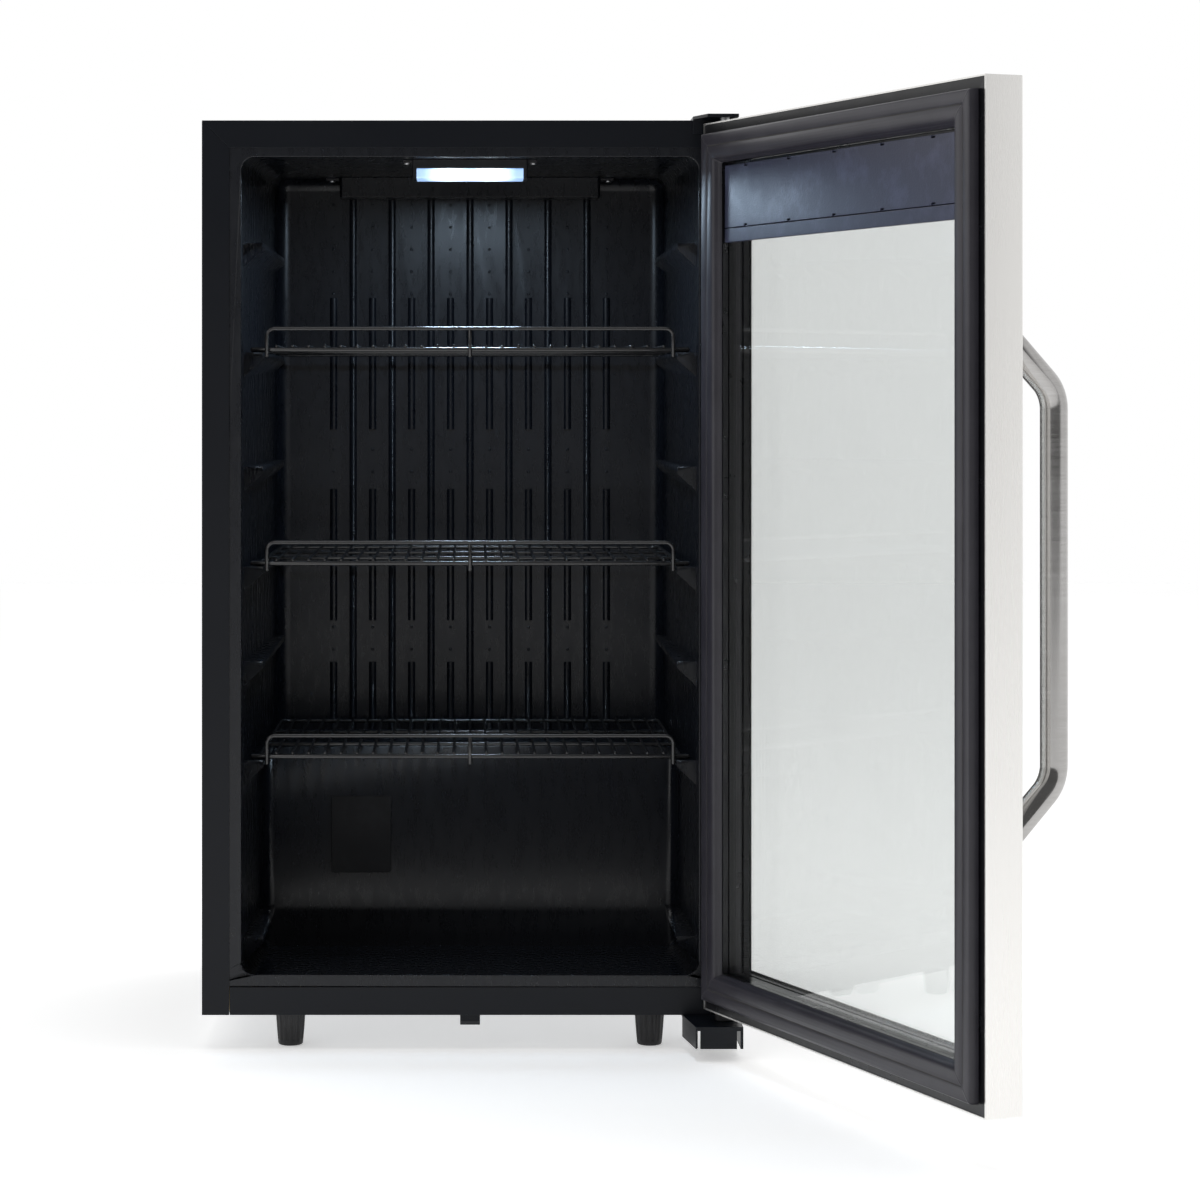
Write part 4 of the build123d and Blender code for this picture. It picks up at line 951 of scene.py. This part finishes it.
# %% Every screw
def screws(name, node, radius, height, shank, points_up):
    """A screw in place of each solid of a CAD piece, each turned to a different angle."""
    pattern = None
    made = []
    for low, high in islands(node):
        if pattern is None:
            pattern = pan_head(name, radius, height, shank, high.z - low.z - height)
        screw = twin(pattern, (0, 0, 0))
        centre = (low + high) / 2
        if points_up(centre):
            screw.rotation_euler = (math.pi, 0, 0.4 + 9 * centre.x)
            screw.location = (centre.x, centre.y, low.z + height)
        else:
            screw.rotation_euler = (0, 0, 0.7 + 9 * centre.x + 5 * centre.y)
            screw.location = (centre.x, centre.y, high.z - height)
        made.append(settle(screw))
    bpy.data.objects.remove(pattern)
    return stand_in(smooth(join(name, made), 28), node)


hinge_set = screws("pan_head_screws", "hinge_screws", 4.5 * MM, 2.2 * MM, 2 * MM, lambda centre: centre.z < 0.4)
liner_set = screws("lamp_screws", "liner_screws", 3.4 * MM, 1.6 * MM, 1.6 * MM, lambda centre: True)
print("screws", len(hinge_set.data.polygons), len(liner_set.data.polygons), "faces")

# %% [markdown]
# ## Dimples in the rear wall
#
# Between its ribs the liner's rear wall carries rows of small raised dots. One is a disc inset twice into a
# low dome. A ray finds the wall behind each place, and a dot is only copied where the wall is flat.

# %% Dimples
bpy.ops.object.select_all(action="DESELECT")
facing_out = (math.radians(90), 0, 0)
bpy.ops.mesh.primitive_circle_add(vertices=12, radius=1.5 * MM, fill_type="NGON", rotation=facing_out)
dot = settle(bpy.context.object)
bpy.ops.object.mode_set(mode="EDIT")
bpy.ops.mesh.select_all(action="SELECT")
for inwards, outwards in ((0.35, 0.3), (0.4, 0.2), (0.4, 0.06)):
    bpy.ops.mesh.inset(thickness=inwards * MM, depth=outwards * MM)
bpy.ops.object.mode_set(mode="OBJECT")
smooth(dot, 60)
liner_mesh = nodes["inner_liner"].data
walls = BVHTree.FromPolygons([v.co for v in liner_mesh.vertices], [f.vertices for f in liner_mesh.polygons])
rib_pitch = 38.6 * MM
dot_pitch = 22 * MM
columns, rows = 8, 24
lowest_dot = 0.256
in_front = -0.05  # a place inside the cabinet, ahead of the wall
dots = []
for column in range(columns):
    for row in range(rows):
        start = Vector(((column - (columns - 1) / 2) * rib_pitch, in_front, lowest_dot + row * dot_pitch))
        wall, facing, _, _ = walls.ray_cast(start, Vector((0, 1, 0)))
        if wall and facing.y < -0.999:
            dots.append(twin(dot, wall))
bpy.data.objects.remove(dot)
dots = join("liner_dimples", dots)
dots.data.materials.clear()
dots.data.materials.append(finishes["black_liner"])
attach(dots, "cabinet")
print("dimples", len(dots.data.polygons), "faces")

# %% [markdown]
# ## Floor and light
#
# One pale floor, a large soft light from the left, another overhead, and the cooler's own small lamp under
# its ceiling. The room is bright behind and to the right, which is what the metal shows, and dim in front.

# %% Floor
bpy.ops.object.select_all(action="DESELECT")
bpy.ops.mesh.primitive_plane_add(size=14, location=(0, 0, -0.3 * MM))
floor = settle(bpy.context.object)
floor.name = "studio_floor"
pale = Finish("pale_floor", Roughness=0.9, Specular_IOR_Level=0.1, Emission_Strength=0.4)
pale.shader.inputs["Emission Color"].default_value = shade(1, 1, 1)
pale.use(Base_Color=pale.blend(pale.noise(3), shade(0.9, 0.9, 0.9), shade(0.93, 0.93, 0.93)))
floor.data.materials.append(pale.material)

print("floor", floor.name)

# %% Room
world = bpy.data.worlds.new("studio")
bpy.context.scene.world = world
world.use_nodes = True
sky = world.node_tree
background = sky.nodes["Background"]
direction = sky.nodes.new("ShaderNodeTexCoord")
parts = sky.nodes.new("ShaderNodeSeparateXYZ")
brightest = sky.nodes.new("ShaderNodeMath")
brightest.operation = "MAXIMUM"
sky.links.new(direction.outputs["Generated"], parts.inputs[0])
# behind the object, and then to its right: where the fade starts and ends, and how bright it is there
fades = (("Y", -0.45, 0.3, 0.15, 1.0), ("X", 0.6, 0.84, 0.15, 0.9))
for slot_number, (axis, starts, ends, dim, bright) in enumerate(fades):
    fade = sky.nodes.new("ShaderNodeMapRange")
    for socket, value in {"From Min": starts, "From Max": ends, "To Min": dim, "To Max": bright}.items():
        fade.inputs[socket].default_value = value
    sky.links.new(parts.outputs[axis], fade.inputs["Value"])
    sky.links.new(fade.outputs[0], brightest.inputs[slot_number])
sky.links.new(brightest.outputs[0], background.inputs["Strength"])
background.inputs["Color"].default_value = shade(1, 1, 1)
print("room fades", fades)


# %% Lights
def softbox(name, place, target, width, height, power, colour=(1, 1, 1)):
    light = bpy.data.lights.new(name, "AREA")
    light.shape = "RECTANGLE"
    light.size = width
    light.size_y = height
    light.energy = power
    light.color = colour
    lamp = bpy.data.objects.new(name, light)
    lamp.location = place
    lamp.rotation_euler = (Vector(target) - Vector(place)).to_track_quat("-Z", "Y").to_euler()
    bpy.context.scene.collection.objects.link(lamp)


middle = (0, 0, 0.42)
softbox("key_light", (-1.9, -2.4, 1.9), middle, 1.4, 1.6, 18)
softbox("top_light", (0.2, -0.3, 2.6), middle, 2.0, 1.6, 18)
lamp_middle = ((lens_low.x + lens_high.x) / 2, (lens_low.y + lens_high.y) / 2, lens_low.z - 3 * MM)
softbox(
    "cabinet_lamp",
    lamp_middle,
    (lamp_middle[0], lamp_middle[1], 0),
    lens_high.x - lens_low.x - 8 * MM,
    lens_high.y - lens_low.y - 8 * MM,
    1.1,
    (0.62, 0.8, 1.0),
)
print("lights", len(bpy.data.lights))
